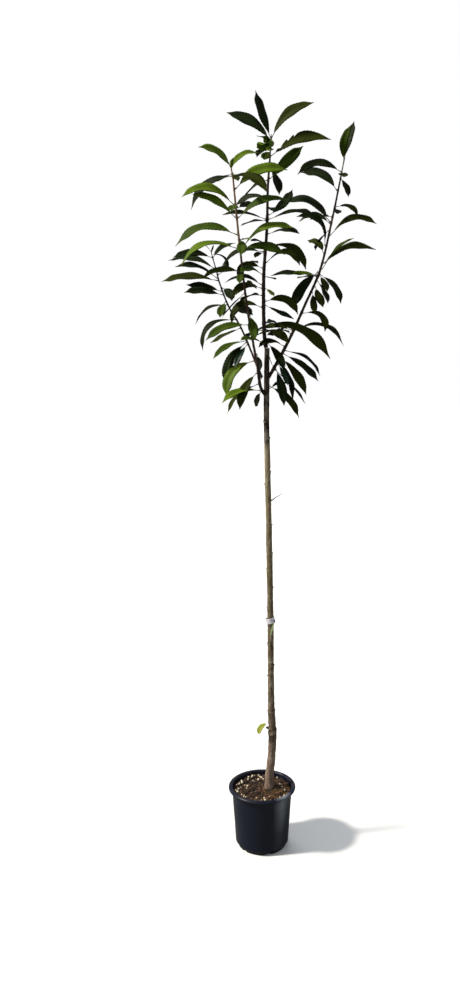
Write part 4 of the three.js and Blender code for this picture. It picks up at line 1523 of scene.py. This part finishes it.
@dataclass
class Crown:
    """The limbs in the order that their leaves are rolled in, and what grows from them.

    Each young leaf of the leader's cluster has the minute of a clock face that it points to, its turn to the
    front in degrees, its length and how far below the tip it grows.
    """

    limbs: Sequence[Limb] = (LEADER, LEFT_INNER, LEFT_OUTER, LEFT_FOOT, RIGHT, TRUNK)
    rule: LeafRule = LeafRule()
    blade: Blade = Blade()
    seed: int = 1764
    young_per_tip: int = 4
    young_turn: float = 2.4
    young_stray: float = 0.4
    young_tilt: Span = (0.25, 0.7)
    young_gap: float = 2 * MM
    young_bend: float = 0.6
    young_length: Span = (0.022, 0.036)
    young_roll: Span = (5, 30)
    cluster: Sequence[tuple[int, int, float, float]] = (
        (57, 25, 0.042, 0.044), (47, 42, 0.055, 0.042), (38, 35, 0.044, 0.045), (33, 60, 0.04, 0.034))
    cluster_fullness: float = 2.3
    cluster_roll: float = 72.0
    cluster_bend: float = -0.6
    cluster_shade: float = 0.044
    bud_grain: Grain = Grain(6, 7, point=0.55)
    bud_size: Sequence[float] = (1.3, 1.3, 2.3)
    bud_lean: float = 0.7
    bud_stand: float = 0.8 * MM
    bud_rise: float = 4.5 * MM
    tip_rise: float = 1.5 * MM
    blades: dict[Tint, list[Surface]] = field(default_factory=lambda: {tint: [] for tint in Tint})
    stalks: dict[bool, list[Surface]] = field(default_factory=lambda: {True: [], False: []})
    nodes: dict[Tint, set[str]] = field(default_factory=lambda: {tint: set() for tint in Tint})

    def grow(self, leaf: Leaf, foot: Array, root: Array, node: str, rng: np.random.Generator) -> None:
        """Adds one leaf to the blades of its tint and to the stalks.

        Args:
            leaf: the leaf.
            foot: where it leaves its limb.
            root: the point inside the limb that its petiole starts from.
            node: the CAD node that holds it.
            rng: what twists and waves it.
        """
        self.blades[leaf.tint].append(self.blade.leaf_surface(leaf, foot, rng))
        # Leaves with painted sunlight and the pale young leaves get light stalks, which paint sunlight on all
        # but the pale ones; the rest get dark stalks, which paint shade.
        light = leaf.tint in (Tint.BRIGHT, Tint.PALE, Tint.GREEN)
        self.stalks[light].append(self.blade.rib_surface(leaf, foot, root))
        self.nodes[leaf.tint].add(node)

    def young_leaves(self, limb: Limb, rng: np.random.Generator) -> Iterator[Leaf]:
        """Goes through the small upright leaves round a shoot's tip, in turn to all sides.

        Args:
            limb: the shoot's limb.
            rng: what draws them, which their blades are drawn from in between.

        Yields:
            A leaf.
        """
        top = limb.tip[2] * MM
        # The sunlit inner bough's young leaves get painted sunlight, the others the olive of painted shade.
        tint = Tint.BRIGHT if limb is LEFT_INNER else Tint.OLIVE
        for i in range(self.young_per_tip):
            turn = self.young_turn * i + rng.uniform(-self.young_stray, self.young_stray)
            tilt = rng.uniform(*self.young_tilt)
            lean = math.atan2(math.sin(tilt) * math.cos(turn), math.cos(tilt))
            depth = math.asin(math.sin(tilt) * math.sin(turn))
            length = rng.uniform(*self.young_length)
            roll = math.radians(rng.uniform(*self.young_roll))
            yield Leaf(top - i * self.young_gap, lean, lean * self.young_bend, depth, length, roll, tint)

    def cluster_leaves(self, limb: Limb) -> Iterator[Leaf]:
        """Goes through the round young leaves that hang in front of the leader's tip.

        Args:
            limb: the leader.

        Yields:
            A leaf.
        """
        roll = math.radians(self.cluster_roll)
        for minute, depth, length, drop in self.cluster:
            # Leaves that hang further below the tip than the shade line get painted shade, the others painted
            # sunlight.
            tint = Tint.GREEN if drop > self.cluster_shade else Tint.BRIGHT
            start = math.radians(self.rule.minute * minute)
            height = limb.tip[2] * MM - drop
            yield Leaf(height, start, self.cluster_bend, math.radians(depth), length, roll, tint,
                       self.cluster_fullness)

    def build(self) -> None:
        """Makes every limb, leaf, stalk and bud."""
        random = Twister(self.seed)
        rng = np.random.default_rng(self.seed)
        feet = []
        for limb in self.limbs:
            leaves = self.rule.read(limb.words, random)
            limb.build(leaves)
            for leaf in leaves:
                foot, root = limb.foot_of(leaf)
                self.grow(leaf, foot, root, limb.node_of(leaf), rng)
                feet.append((root, leaf.heading(0.0), limb))
            if limb.tip is not None:
                title = limb.node_of(leaves[0])
                young = self.cluster_leaves(limb) if limb is LEADER else self.young_leaves(limb, rng)
                for leaf in young:
                    self.grow(leaf, *limb.foot_of(leaf), title, rng)
        for tint, blades in self.blades.items():
            name = f"leaf_blades_{tint.name.lower()}"
            Surface.joined(blades).make(name, LEAF_FINISHES[tint], Slot.LEAF, sorted(self.nodes[tint]))
        masses = sorted(set().union(*self.nodes.values()))
        Surface.joined(self.stalks[True]).make("leaf_stalks_painted_sun_and_pale", STALK_PAINTED_SUN_AND_PALE, Slot.LEAF, masses)
        Surface.joined(self.stalks[False]).make("leaf_stalks_painted_shade", STALK_PAINTED_SHADE, Slot.LEAF, masses)
        self.build_buds(feet, masses)

    def build_buds(self, feet: Sequence[tuple[Array, Array, Limb]], masses: Sequence[str]) -> None:
        """Makes a bud in the angle of each leaf, and one at the tip of each shoot: small pointed grains.

        Args:
            feet: for each leaf, the point in its limb, the way it sets out and the limb.
            masses: the CAD nodes that the buds stand for.
        """
        roots = np.array([root for root, _, _ in feet])
        ways = np.array([way for _, way, _ in feet])
        wide = np.array([float(limb.radius(limb.path.share_at(root[2]))) for root, _, limb in feet])
        out = unit(ways - ways[:, 2:] * UP)
        places = roots + out * (wide + self.bud_stand)[:, None] + UP * self.bud_rise
        tips = np.array([limb.tip for limb in self.limbs if limb.tip is not None]) * MM
        places = np.vstack([places, tips + UP * self.tip_rise])
        lean = np.vstack([unit(out * self.bud_lean + UP), np.tile(UP, (len(tips), 1))])
        axes = leaning_axes(lean, np.array([1.0, 0.3, 0.0]))
        sizes = np.tile(np.array(self.bud_size) * MM, (len(places), 1))
        self.bud_grain.scatter(places, axes, sizes, 5).make("leaf_buds", BUD_FINISH, Slot.LEAF, masses)


@dataclass
class Pot:
    """The round nursery pot. Sizes are millimetres, and those of the wall's waver metres."""

    height: float = 199
    hub: float = 8
    base: float = 76
    step_height: float = 16
    step: float = 85.5
    body: float = 96
    lip: float = 108
    lip_depth: float = 10
    wall: float = 1.6
    floor: float = 3
    sides: int = 192
    notches: int = 6
    notch_turn: float = 285
    notch_depth: float = 5.5
    notch_half_width: float = 6.5
    notch_height: float = 8
    notch_flat: float = 0.8
    notch_side: float = 0.35
    notch_fade: float = 2.0
    notch_top: float = 1.2
    notch_inset: float = 9.0
    notch_lift: float = 0.55
    waver: Ripple = Ripple(31, 0.09, 0.25 * MM, 12, 3)
    waver_from: float = 0.02
    waver_fade: float = 0.05

    def arc(self, middle: Span, radius: float, start: float, end: float, count: int = 7) -> list[Span]:
        """Points on an arc, from one angle to another in degrees."""
        turn = np.radians(np.linspace(start, end, count))
        return list(zip(middle[0] + radius * np.cos(turn), middle[1] + radius * np.sin(turn)))

    def straight(self, start: Span, end: Span, count: int) -> list[Span]:
        """Points on a straight line, its last one left out."""
        share = np.linspace(0.0, 1.0, count, endpoint=False)[:, None]
        return [tuple(p) for p in np.array(start) + share * (np.array(end) - np.array(start))]

    def profile(self) -> Array:
        """Draws the section: the underside, the foot's round, the low band with its step, the wall, the
        collar, the fillet and the rolled lip outside, then the rim, the wall and the foot inside.

        Returns:
            The radius and the height of each point, in metres.
        """
        rim = self.height - self.lip_depth
        roll = self.lip_depth / 2
        inner = self.body - self.wall
        ledge = (self.step - self.wall, self.step_height)
        corner = (self.base, self.floor)
        points = [
            *self.straight((self.hub, 0), (self.base - 2, 0), 8),
            *self.arc((self.base - 1, 3), 3, -90, -20),
            *self.straight((self.base + 2.5, 4), (self.step - 2.2, self.step_height - 2), 10),
            *self.arc((self.step - 1.2, self.step_height), 1.2, -90, 0, 5),
            *self.straight((self.step, self.step_height + 1), (self.body - 0.6, rim - 14), 34),
            *self.straight((self.body + 0.5, rim - 12), (self.body + 0.7, rim - 2), 4),
            *self.arc((self.body + 3.2, rim - 2), 2.5, 180, 90, 5),
            *self.arc((self.lip - roll, rim + roll - 0.3), roll, -90, 90, 13),
            *self.arc((inner + 4, self.height - 4.3), 4, 90, 180, 7),
            *self.straight((inner, self.height - 6), ledge, 12),
            *self.straight(ledge, corner, 3),
            corner,
            (self.hub, self.floor),
        ]
        return np.array(points) * MM

    def build(self) -> None:
        """Makes the shell: the section turned, with a notch at each drain hole and a slight waver."""
        r, z = self.profile().T
        turn = around(self.sides)
        rings = r[:, None] * np.ones(self.sides)
        level = z[:, None] * np.ones(self.sides)
        outside = np.arange(len(r)) < int(np.argmax(z))
        low = 1.0 - smoothstep((z / MM - self.notch_height + self.notch_top) / self.notch_fade)
        wide = smoothstep((r / MM - self.base + self.notch_inset) / self.notch_fade)
        for i in range(self.notches):
            off = angle_off(turn, math.radians(self.notch_turn + 360 * i / self.notches))
            away = np.abs(off) * self.base / self.notch_half_width
            near = 1.0 - smoothstep((away - self.notch_flat) / self.notch_side)
            dent = near * (low * wide * outside)[:, None]
            rings = rings - dent * self.notch_depth * MM
            level = level + dent * (self.notch_height * MM - level) * self.notch_lift
        wall = smoothstep((level - self.waver_from) / self.waver_fade) * outside[:, None]
        rings = rings + wall * self.waver.at(turn, level)
        shell = np.stack([rings * np.cos(turn), rings * np.sin(turn), level], -1)
        Surface.tube(shell).make("pot_shell", PotFinish(), Slot.POT, ["pot"])


CHIPS = [
    ("mix_chips_dark", PlainFinish("chip_dark", (0.05, 0.03, 0.02), (0.012, 0.008, 0.007), 240.0)),
    ("mix_chips_brown", PlainFinish("chip_brown", (0.21, 0.11, 0.04), (0.07, 0.034, 0.014), 240.0)),
    ("mix_chips_red", PlainFinish("chip_red", (0.2, 0.09, 0.06), (0.08, 0.032, 0.022), 240.0)),
]


@dataclass
class PottingMix:
    """The damp mix of bark, peat and pumice. Sizes are millimetres."""

    height: float = 186.7
    lump: float = 3.2
    spans: Triple = (9, 11, 6)
    sink: float = 0.4
    flat: float = 26
    edge: float = 93.4
    deep: float = 150
    trunk: Span = (20.5, 5)
    trunk_radius: float = 15.5
    rings: int = 64
    sides: int = 200
    middle: float = 0.6
    relief: Ripple = Ripple(17, 3.0, 0.75, 60, 60)
    relief_from: float = 30
    edge_drop: float = 2.2
    edge_width: float = 6
    foot_share: float = 0.4
    chips: int = 760
    chip_clear: float = 3.5
    chip_grain: Grain = Grain(4, 7, square=0.55, rough=0.14)
    chip_length: Span = (2.0, 5.6)
    chip_width: Span = (0.35, 0.7)
    chip_depth: Span = (0.7, 1.7)
    # Towards the east front the lighter brown chips paint sunlight on the mix, and the shorter chips are its
    # finer grains.
    sunny_over: float = 70
    sunny_from: float = 0.1
    sunny_shorter: float = 0.35
    red_share: Span = (0.1, 0.12)
    brown_share: Span = (0.2, 0.7)
    pumice: int = 150
    pumice_clear: float = 4.5
    pumice_grain: Grain = Grain(6, 9, square=0.85, rough=0.13)
    pumice_size: Span = (1.5, 4.8)
    pumice_flatness: Span = (0.65, 1.0)
    crumbs: int = 1500
    crumb_grain: Grain = Grain(3, 6, rough=0.2)
    crumb_size: Span = (0.5, 1.5)
    crumb_shape: Sequence[float] = (1.0, 0.8, 0.6)
    fibres: int = 26
    fibre_clear: float = 14
    fibre_reach: Span = (4, 11)
    fibre_bend: float = 0.5
    fibre_radii: Sequence[float] = (0.16, 0.36, 0.16)
    rng: np.random.Generator = field(default_factory=lambda: np.random.default_rng(2024))

    def surface_height(self, x: Array, y: Array) -> Array:
        """The height of the mix: lumps of sin(x / a) cos(y / b) + sin((x - y) / c) / 2, level at the trunk.

        Args:
            x: how far east.
            y: how far back.

        Returns:
            The height at each place.
        """
        away = np.clip((np.hypot(x - self.trunk[0], y - self.trunk[1]) - self.flat) / self.flat, 0.0, 1.0)
        wide, deep, fine = self.spans
        lumps = np.sin(x / wide) * np.cos(y / deep) + np.sin((x - y) / fine) / 2
        return self.height + self.lump * away * (lumps - self.sink)

    def ground(self) -> Surface:
        """Makes the mix as a closed drum: its top is the lumpy height with a fine ripple, its foot is level.

        Returns:
            The drum, in metres.
        """
        radius = np.linspace(self.edge, self.middle, self.rings)[:, None]
        turn = around(self.sides)
        x = radius * np.cos(turn)
        y = radius * np.sin(turn)
        fine = self.relief.at(turn, radius) * np.clip(radius / self.relief_from, 0.0, 1.0)
        drop = self.edge_drop * smoothstep((radius - self.edge + self.edge_width) / self.edge_width)
        top = np.stack([x, y, self.surface_height(x, y) + fine - drop], -1)
        low = np.stack([x, y, np.full(x.shape, self.deep)], -1)[:1]
        under = low * np.array([self.foot_share, self.foot_share, 1.0])
        return Surface.tube(np.concatenate([under, low, top]) * MM)

    def spots(self, count: int, clear: float) -> tuple[Array, Array]:
        """Places spread evenly over the mix, outside the trunk.

        Args:
            count: how many.
            clear: how far they stay from the trunk's bark and the pot.

        Returns:
            Their x and y, which may be a few fewer than asked for.
        """
        radius = (self.edge - clear) * np.sqrt(self.rng.uniform(0.0, 1.0, count))
        turn = self.rng.uniform(0.0, FULL_TURN, count)
        x = radius * np.cos(turn)
        y = radius * np.sin(turn)
        keep = np.hypot(x - self.trunk[0], y - self.trunk[1]) > self.trunk_radius + clear
        return x[keep], y[keep]

    def lay(self, grain: Grain, x: Array, y: Array, sizes: Array, sunk: float, tilt: float,
            seed: int) -> Surface:
        """Lays a grain at each place, sunk into the mix.

        Args:
            grain: the grain.
            x: the places' x.
            y: the places' y.
            sizes: for each place, the grain's half sizes.
            sunk: how far it is sunk, as a share of its half height.
            tilt: the most that it tilts by, as a slope.
            seed: the seed of its turn, its tilt and its roughness.

        Returns:
            All the grains as one surface.
        """
        rng = np.random.default_rng(seed)
        z = self.surface_height(x, y) + sizes[:, 2] * (1.0 - sunk)
        axes = random_axes(rng, len(x), tilt)
        return grain.scatter(np.stack([x, y, z], -1) * MM, axes, sizes * MM, seed)

    def build_chips(self) -> None:
        """Makes the bark chips in three tones. Towards the east front more are brown, which paints the
        sunlight there, and they are shorter, for the finer grains there.
        """
        x, y = self.spots(self.chips, self.chip_clear)
        sunny = smoothstep((x - y) / self.sunny_over - self.sunny_from)
        draw = self.rng.uniform(0.0, 1.0, len(x))
        red, brown = (least + more * sunny for least, more in (self.red_share, self.brown_share))
        tone = np.where(draw < red, 2, np.where(draw < brown, 1, 0))
        long = self.rng.uniform(*self.chip_length, len(x)) * (1.0 - self.sunny_shorter * sunny)
        wide = long * self.rng.uniform(*self.chip_width, len(x))
        sizes = np.stack([long, wide, self.rng.uniform(*self.chip_depth, len(x))], -1)
        for i, (name, finish) in enumerate(CHIPS):
            pick = tone == i
            chips = self.lay(self.chip_grain, x[pick], y[pick], sizes[pick], 0.3, 0.55, 40 + i)
            chips.make(name, finish, Slot.MIX, ["potting_mix"])

    def build_pumice(self) -> None:
        """Makes the pumice, which lies towards the edge and the west."""
        x, y = self.spots(self.pumice, self.pumice_clear)
        outer = smoothstep((np.hypot(x, y) / self.edge - 0.4) / 0.4)
        share = 0.1 + 0.9 * outer * (1.0 - 0.75 * smoothstep(x / 30))
        kept = self.rng.uniform(0.0, 1.0, len(x)) < share
        half = self.rng.uniform(*self.pumice_size, int(kept.sum()))
        sizes = half[:, None] * self.rng.uniform(*self.pumice_flatness, (len(half), 3))
        stones = self.lay(self.pumice_grain, x[kept], y[kept], sizes, 0.25, 0.9, 50)
        pale = PlainFinish("pumice", (0.82, 0.74, 0.58), (0.55, 0.44, 0.29), 220.0, 0.9, 0.6 * MM)
        stones.make("mix_pumice", pale, Slot.MIX, ["potting_mix"])

    def build_crumbs(self) -> None:
        """Makes the crumbs of the mix."""
        x, y = self.spots(self.crumbs, 2.0)
        sizes = self.rng.uniform(*self.crumb_size, (len(x), 1)) * np.array(self.crumb_shape)
        crumbs = self.lay(self.crumb_grain, x, y, sizes, 0.2, 0.9, 60)
        loose = PlainFinish("crumbs", (0.22, 0.13, 0.06), (0.03, 0.018, 0.012), 90.0, 0.9)
        crumbs.make("mix_crumbs", loose, Slot.MIX, ["potting_mix"])

    def build_fibres(self) -> None:
        """Makes the fibres: thin bent threads, thickest in the middle, that lie on the mix."""
        step = np.linspace(-1.0, 1.0, 9)
        radius = np.interp(step, [-1, 0, 1], self.fibre_radii) * MM
        threads = []
        for x, y in zip(*self.spots(self.fibres, self.fibre_clear)):
            turn = self.rng.uniform(0, math.pi) + self.fibre_bend * step * self.rng.uniform(-1, 1)
            reach = step * self.rng.uniform(*self.fibre_reach)
            line = np.stack([x + reach * np.cos(turn), y + reach * np.sin(turn)], -1)
            z = self.surface_height(*line.T) + 2.0 + 0.8 * np.cos(step * 2)
            threads.append(sweep(np.column_stack([line, z]) * MM, radius, 5))
        straw = PlainFinish("fibre", (0.4, 0.28, 0.15), (0.18, 0.11, 0.06), 200.0)
        Surface.joined(threads).make("mix_fibres", straw, Slot.MIX, ["potting_mix"])

    def build(self) -> None:
        """Makes the mix and what lies on it."""
        soil = PlainFinish("mix_soil", (0.05, 0.028, 0.016), (0.009, 0.006, 0.005), 170.0, 0.9, 1.2 * MM)
        self.ground().make("mix_ground", soil, Slot.MIX, ["potting_mix"])
        self.build_chips()
        self.build_pumice()
        self.build_crumbs()
        self.build_fibres()


@dataclass
class TrunkLabel:
    """The plain band that hangs loose and askew round the trunk, with its green tail and its knot.

    Sizes are millimetres and turns are degrees.
    """

    trunk: Trunk
    height: float = 751
    width: float = 17
    slack: float = 4.0
    thickness: float = 0.8
    shift: Span = (-0.4, -1.0)
    tilt: float = -17.0
    curl: float = 0.3
    waver: Span = (0.25, 0.15)
    sag: float = 0.4
    film: float = 0.6
    band_rows: int = 9
    tail: float = 42
    tail_width: float = 5.4
    tail_taper: float = 0.35
    tail_rise: float = 6.0
    tail_wave: float = 0.4
    tail_film: float = 0.22
    tail_rows: int = 24
    tail_lean: float = 16.0
    tail_turn: float = 24.0
    knot: Triple = (3.2, 2.4, 2.6)
    knot_turn: float = -35.0
    knot_stand: float = 1.2
    knot_drop: float = -1.0
    knot_grain: Grain = Grain(6, 9, square=0.8, rough=0.12)
    sides: int = 72

    def inner(self) -> float:
        """The band's inner radius."""
        return float(self.trunk.radius(self.trunk.path.share_at(self.height * MM))) / MM + self.slack

    def hung(self, points: Array) -> Array:
        """Moves points from round the band's own middle to where it hangs, in metres."""
        centre = self.trunk.path.point_at(self.height * MM) / MM
        return (points + np.array([centre[0] + self.shift[0], centre[1] + self.shift[1], self.height])) * MM

    def band(self) -> Surface:
        """Makes the band: a strip section turned round, with its edges curled out, then tilted about Y.

        Returns:
            The closed band.
        """
        turn = around(self.sides)[:, None]
        up = np.linspace(-1.0, 1.0, self.band_rows)
        curl = self.inner() + self.curl * np.abs(up) ** 4
        outer = np.stack([curl + self.thickness * self.film, up * self.width / 2], -1)
        section = np.vstack([outer, np.stack([curl, up * self.width / 2], -1)[::-1]])
        radius = section[:, 0] + (self.waver[0] * np.sin(3 * turn + 0.6) + self.waver[1] * np.sin(7 * turn))
        level = section[:, 1] + self.sag * np.sin(2 * turn + 0.4)
        z, x = turned(level, radius * np.cos(turn), self.tilt)
        rings = self.hung(np.stack([x, radius * np.sin(turn), z], -1))
        count, across, _ = rings.shape
        i, k = np.meshgrid(np.arange(count), np.arange(across), indexing="ij")
        row = i * across
        ahead = (i + 1) % count * across
        beside = (k + 1) % across
        quads = np.stack([row + k, ahead + k, ahead + beside, row + beside], -1)
        return Surface(rings.reshape(-1, 3), quads.reshape(-1, 4), np.empty((0, 3), int))

    def strip(self) -> Surface:
        """Makes the tail: a flat strip with a gentle wave that leans to the west, turned to the east side.

        Returns:
            The closed strip.
        """
        lean = math.radians(self.tail_lean)
        down = np.linspace(0.0, 1.0, self.tail_rows)
        along = self.tail * (0.5 - down)
        wave = self.tail_wave * np.sin(down * 4.5) ** 2
        level = along * math.cos(lean) + self.tail_rise - (self.width + self.tail) / 2
        middle = np.stack([along * math.sin(lean), -self.inner() - self.thickness - wave, level], -1)
        half = self.tail_width / 2 * (1.0 - self.tail_taper * down)[:, None]
        corners = np.array([[1, -1], [0.5, -1.2], [-0.5, -1.2], [-1, -1], [-1, 1], [1, 1]], float)
        side = np.array([math.cos(lean), 0.0, -math.sin(lean)])
        rings = middle[:, None, :] + half[..., None] * corners[None, :, :1] * side
        rings = rings - self.tail_film * corners[None, :, 1:] * FRONT
        x, y = turned(rings[..., 0], rings[..., 1], self.tail_turn)
        return Surface.tube(self.hung(np.stack([x, y, rings[..., 2]], -1)))

    def build(self) -> None:
        """Makes the band, its tail and its knot."""
        white = PlainFinish("label_film", (0.84, 0.83, 0.9), (0.62, 0.61, 0.7), 60.0, 0.4, 0.1 * MM, 0.5)
        green = PlainFinish("label_tail", (0.72, 0.88, 0.45), (0.5, 0.68, 0.28), 80.0, 0.45, 0.1 * MM, 0.5)
        black = PlainFinish("label_knot", (0.03, 0.03, 0.035), (0.012, 0.012, 0.015), 200.0, 0.6)
        self.band().make("label_band", white, Slot.LABEL, ["trunk_label"])
        self.strip().make("label_tail", green, Slot.LABEL, ["trunk_label"])
        reach = self.inner() + self.knot_stand
        place = self.hung(spokes(np.radians([self.knot_turn])) * reach + UP * self.knot_drop)
        knot = self.knot_grain.scatter(place, np.eye(3)[None], np.array([self.knot]) * MM, 9)
        knot.make("label_knot", black, Slot.LABEL, ["trunk_label"])


@dataclass(frozen=True)
class Sun:
    """A soft distant light.

    Attributes:
        name: its name.
        azimuth: where it stands, in degrees to the west of the front.
        height: its angle above the floor.
        strength: its strength.
        width: its angle across, which softens the shadows.
        colour: its colour.
        glossy: whether it shows in gloss.
    """

    name: str
    azimuth: float
    height: float
    strength: float
    width: float
    colour: Colour = (0.95, 0.97, 1.0)
    glossy: bool = False

    def hang(self) -> None:
        """Adds the light to the scene."""
        data = bpy.data.lights.new(self.name, "SUN")
        data.energy = self.strength
        data.angle = math.radians(self.width)
        data.color = self.colour
        light = bpy.data.objects.new(self.name, data)
        light.rotation_euler = (math.radians(90 - self.height), 0.0, math.radians(-self.azimuth))
        light.visible_glossy = self.glossy
        bpy.context.scene.collection.objects.link(light)


@dataclass
class Studio:
    """The camera, the lights and the floor. Focal length and shift are in pixels of the photograph."""

    camera_place: Triple = (0.0, -2.41, 1.5)
    pitch: float = 8.7
    focal: float = 797.0
    image_height: float = 1000.0
    image_width: float = 460.0
    pot_axis: float = 262.0
    sensor: float = 36.0
    suns: Sequence[Sun] = (
        Sun("key", 79.0, 42.0, 4.6, 7.0, (1.0, 0.95, 0.85), glossy=True),
        Sun("front", -10.0, 35.0, 0.3, 50.0),
        Sun("back", 165.0, 30.0, 1.2, 50.0),
    )
    sky: Colour = (0.9, 0.95, 1.0)
    sky_strength: float = 0.31
    backdrop: Colour = (1.0, 1.0, 1.0)
    floor_half: float = 40.0

    def camera(self) -> None:
        """Stands the camera at the photograph's viewing angle."""
        data = bpy.data.cameras.new("camera")
        data.sensor_width = self.sensor
        data.lens = self.focal / self.image_height * self.sensor
        data.shift_x = (self.image_width / 2 - self.pot_axis) / self.image_height
        camera = bpy.data.objects.new("camera", data)
        camera.location = self.camera_place
        camera.rotation_euler = (math.radians(90 - self.pitch), 0.0, 0.0)
        bpy.context.scene.collection.objects.link(camera)
        bpy.context.scene.camera = camera

    def world(self) -> None:
        """Makes a pale studio: white where it shows, and a weaker soft light on the plant."""
        world = bpy.data.worlds.new("studio")
        world.use_nodes = True
        bpy.context.scene.world = world
        tree = world.node_tree
        tree.nodes["Background"].inputs["Color"].default_value = (*self.sky, 1.0)
        tree.nodes["Background"].inputs["Strength"].default_value = self.sky_strength
        seen = tree.nodes.new("ShaderNodeBackground")
        seen.inputs["Color"].default_value = (*self.backdrop, 1.0)
        path = tree.nodes.new("ShaderNodeLightPath")
        mix = tree.nodes.new("ShaderNodeMixShader")
        tree.links.new(path.outputs["Is Camera Ray"], mix.inputs[0])
        tree.links.new(tree.nodes["Background"].outputs[0], mix.inputs[1])
        tree.links.new(seen.outputs[0], mix.inputs[2])
        tree.links.new(mix.outputs[0], tree.nodes["World Output"].inputs["Surface"])

    def floor(self) -> None:
        """Lays a wide plain pale floor under the pot."""
        half = self.floor_half
        mesh = bpy.data.meshes.new("floor")
        mesh.from_pydata([(-half, -half, 0), (half, -half, 0), (half, half, 0), (-half, half, 0)], [],
                         [(0, 1, 2, 3)])
        floor = bpy.data.objects.new("floor", mesh)
        mesh.materials.append(FloorFinish().material)
        bpy.context.scene.collection.objects.link(floor)

    def build(self) -> None:
        """Sets up the studio."""
        self.camera()
        for sun in self.suns:
            sun.hang()
        self.world()
        self.floor()
        bpy.context.scene.view_settings.view_transform = "Standard"


def main() -> None:
    """Builds the plant, its pot and its label in the studio."""
    logging.basicConfig(level=logging.INFO, format="%(message)s")
    Studio().build()
    Pot().build()
    PottingMix().build()
    Crown().build()
    TrunkLabel(TRUNK).build()


if __name__ == "__main__":
    main()
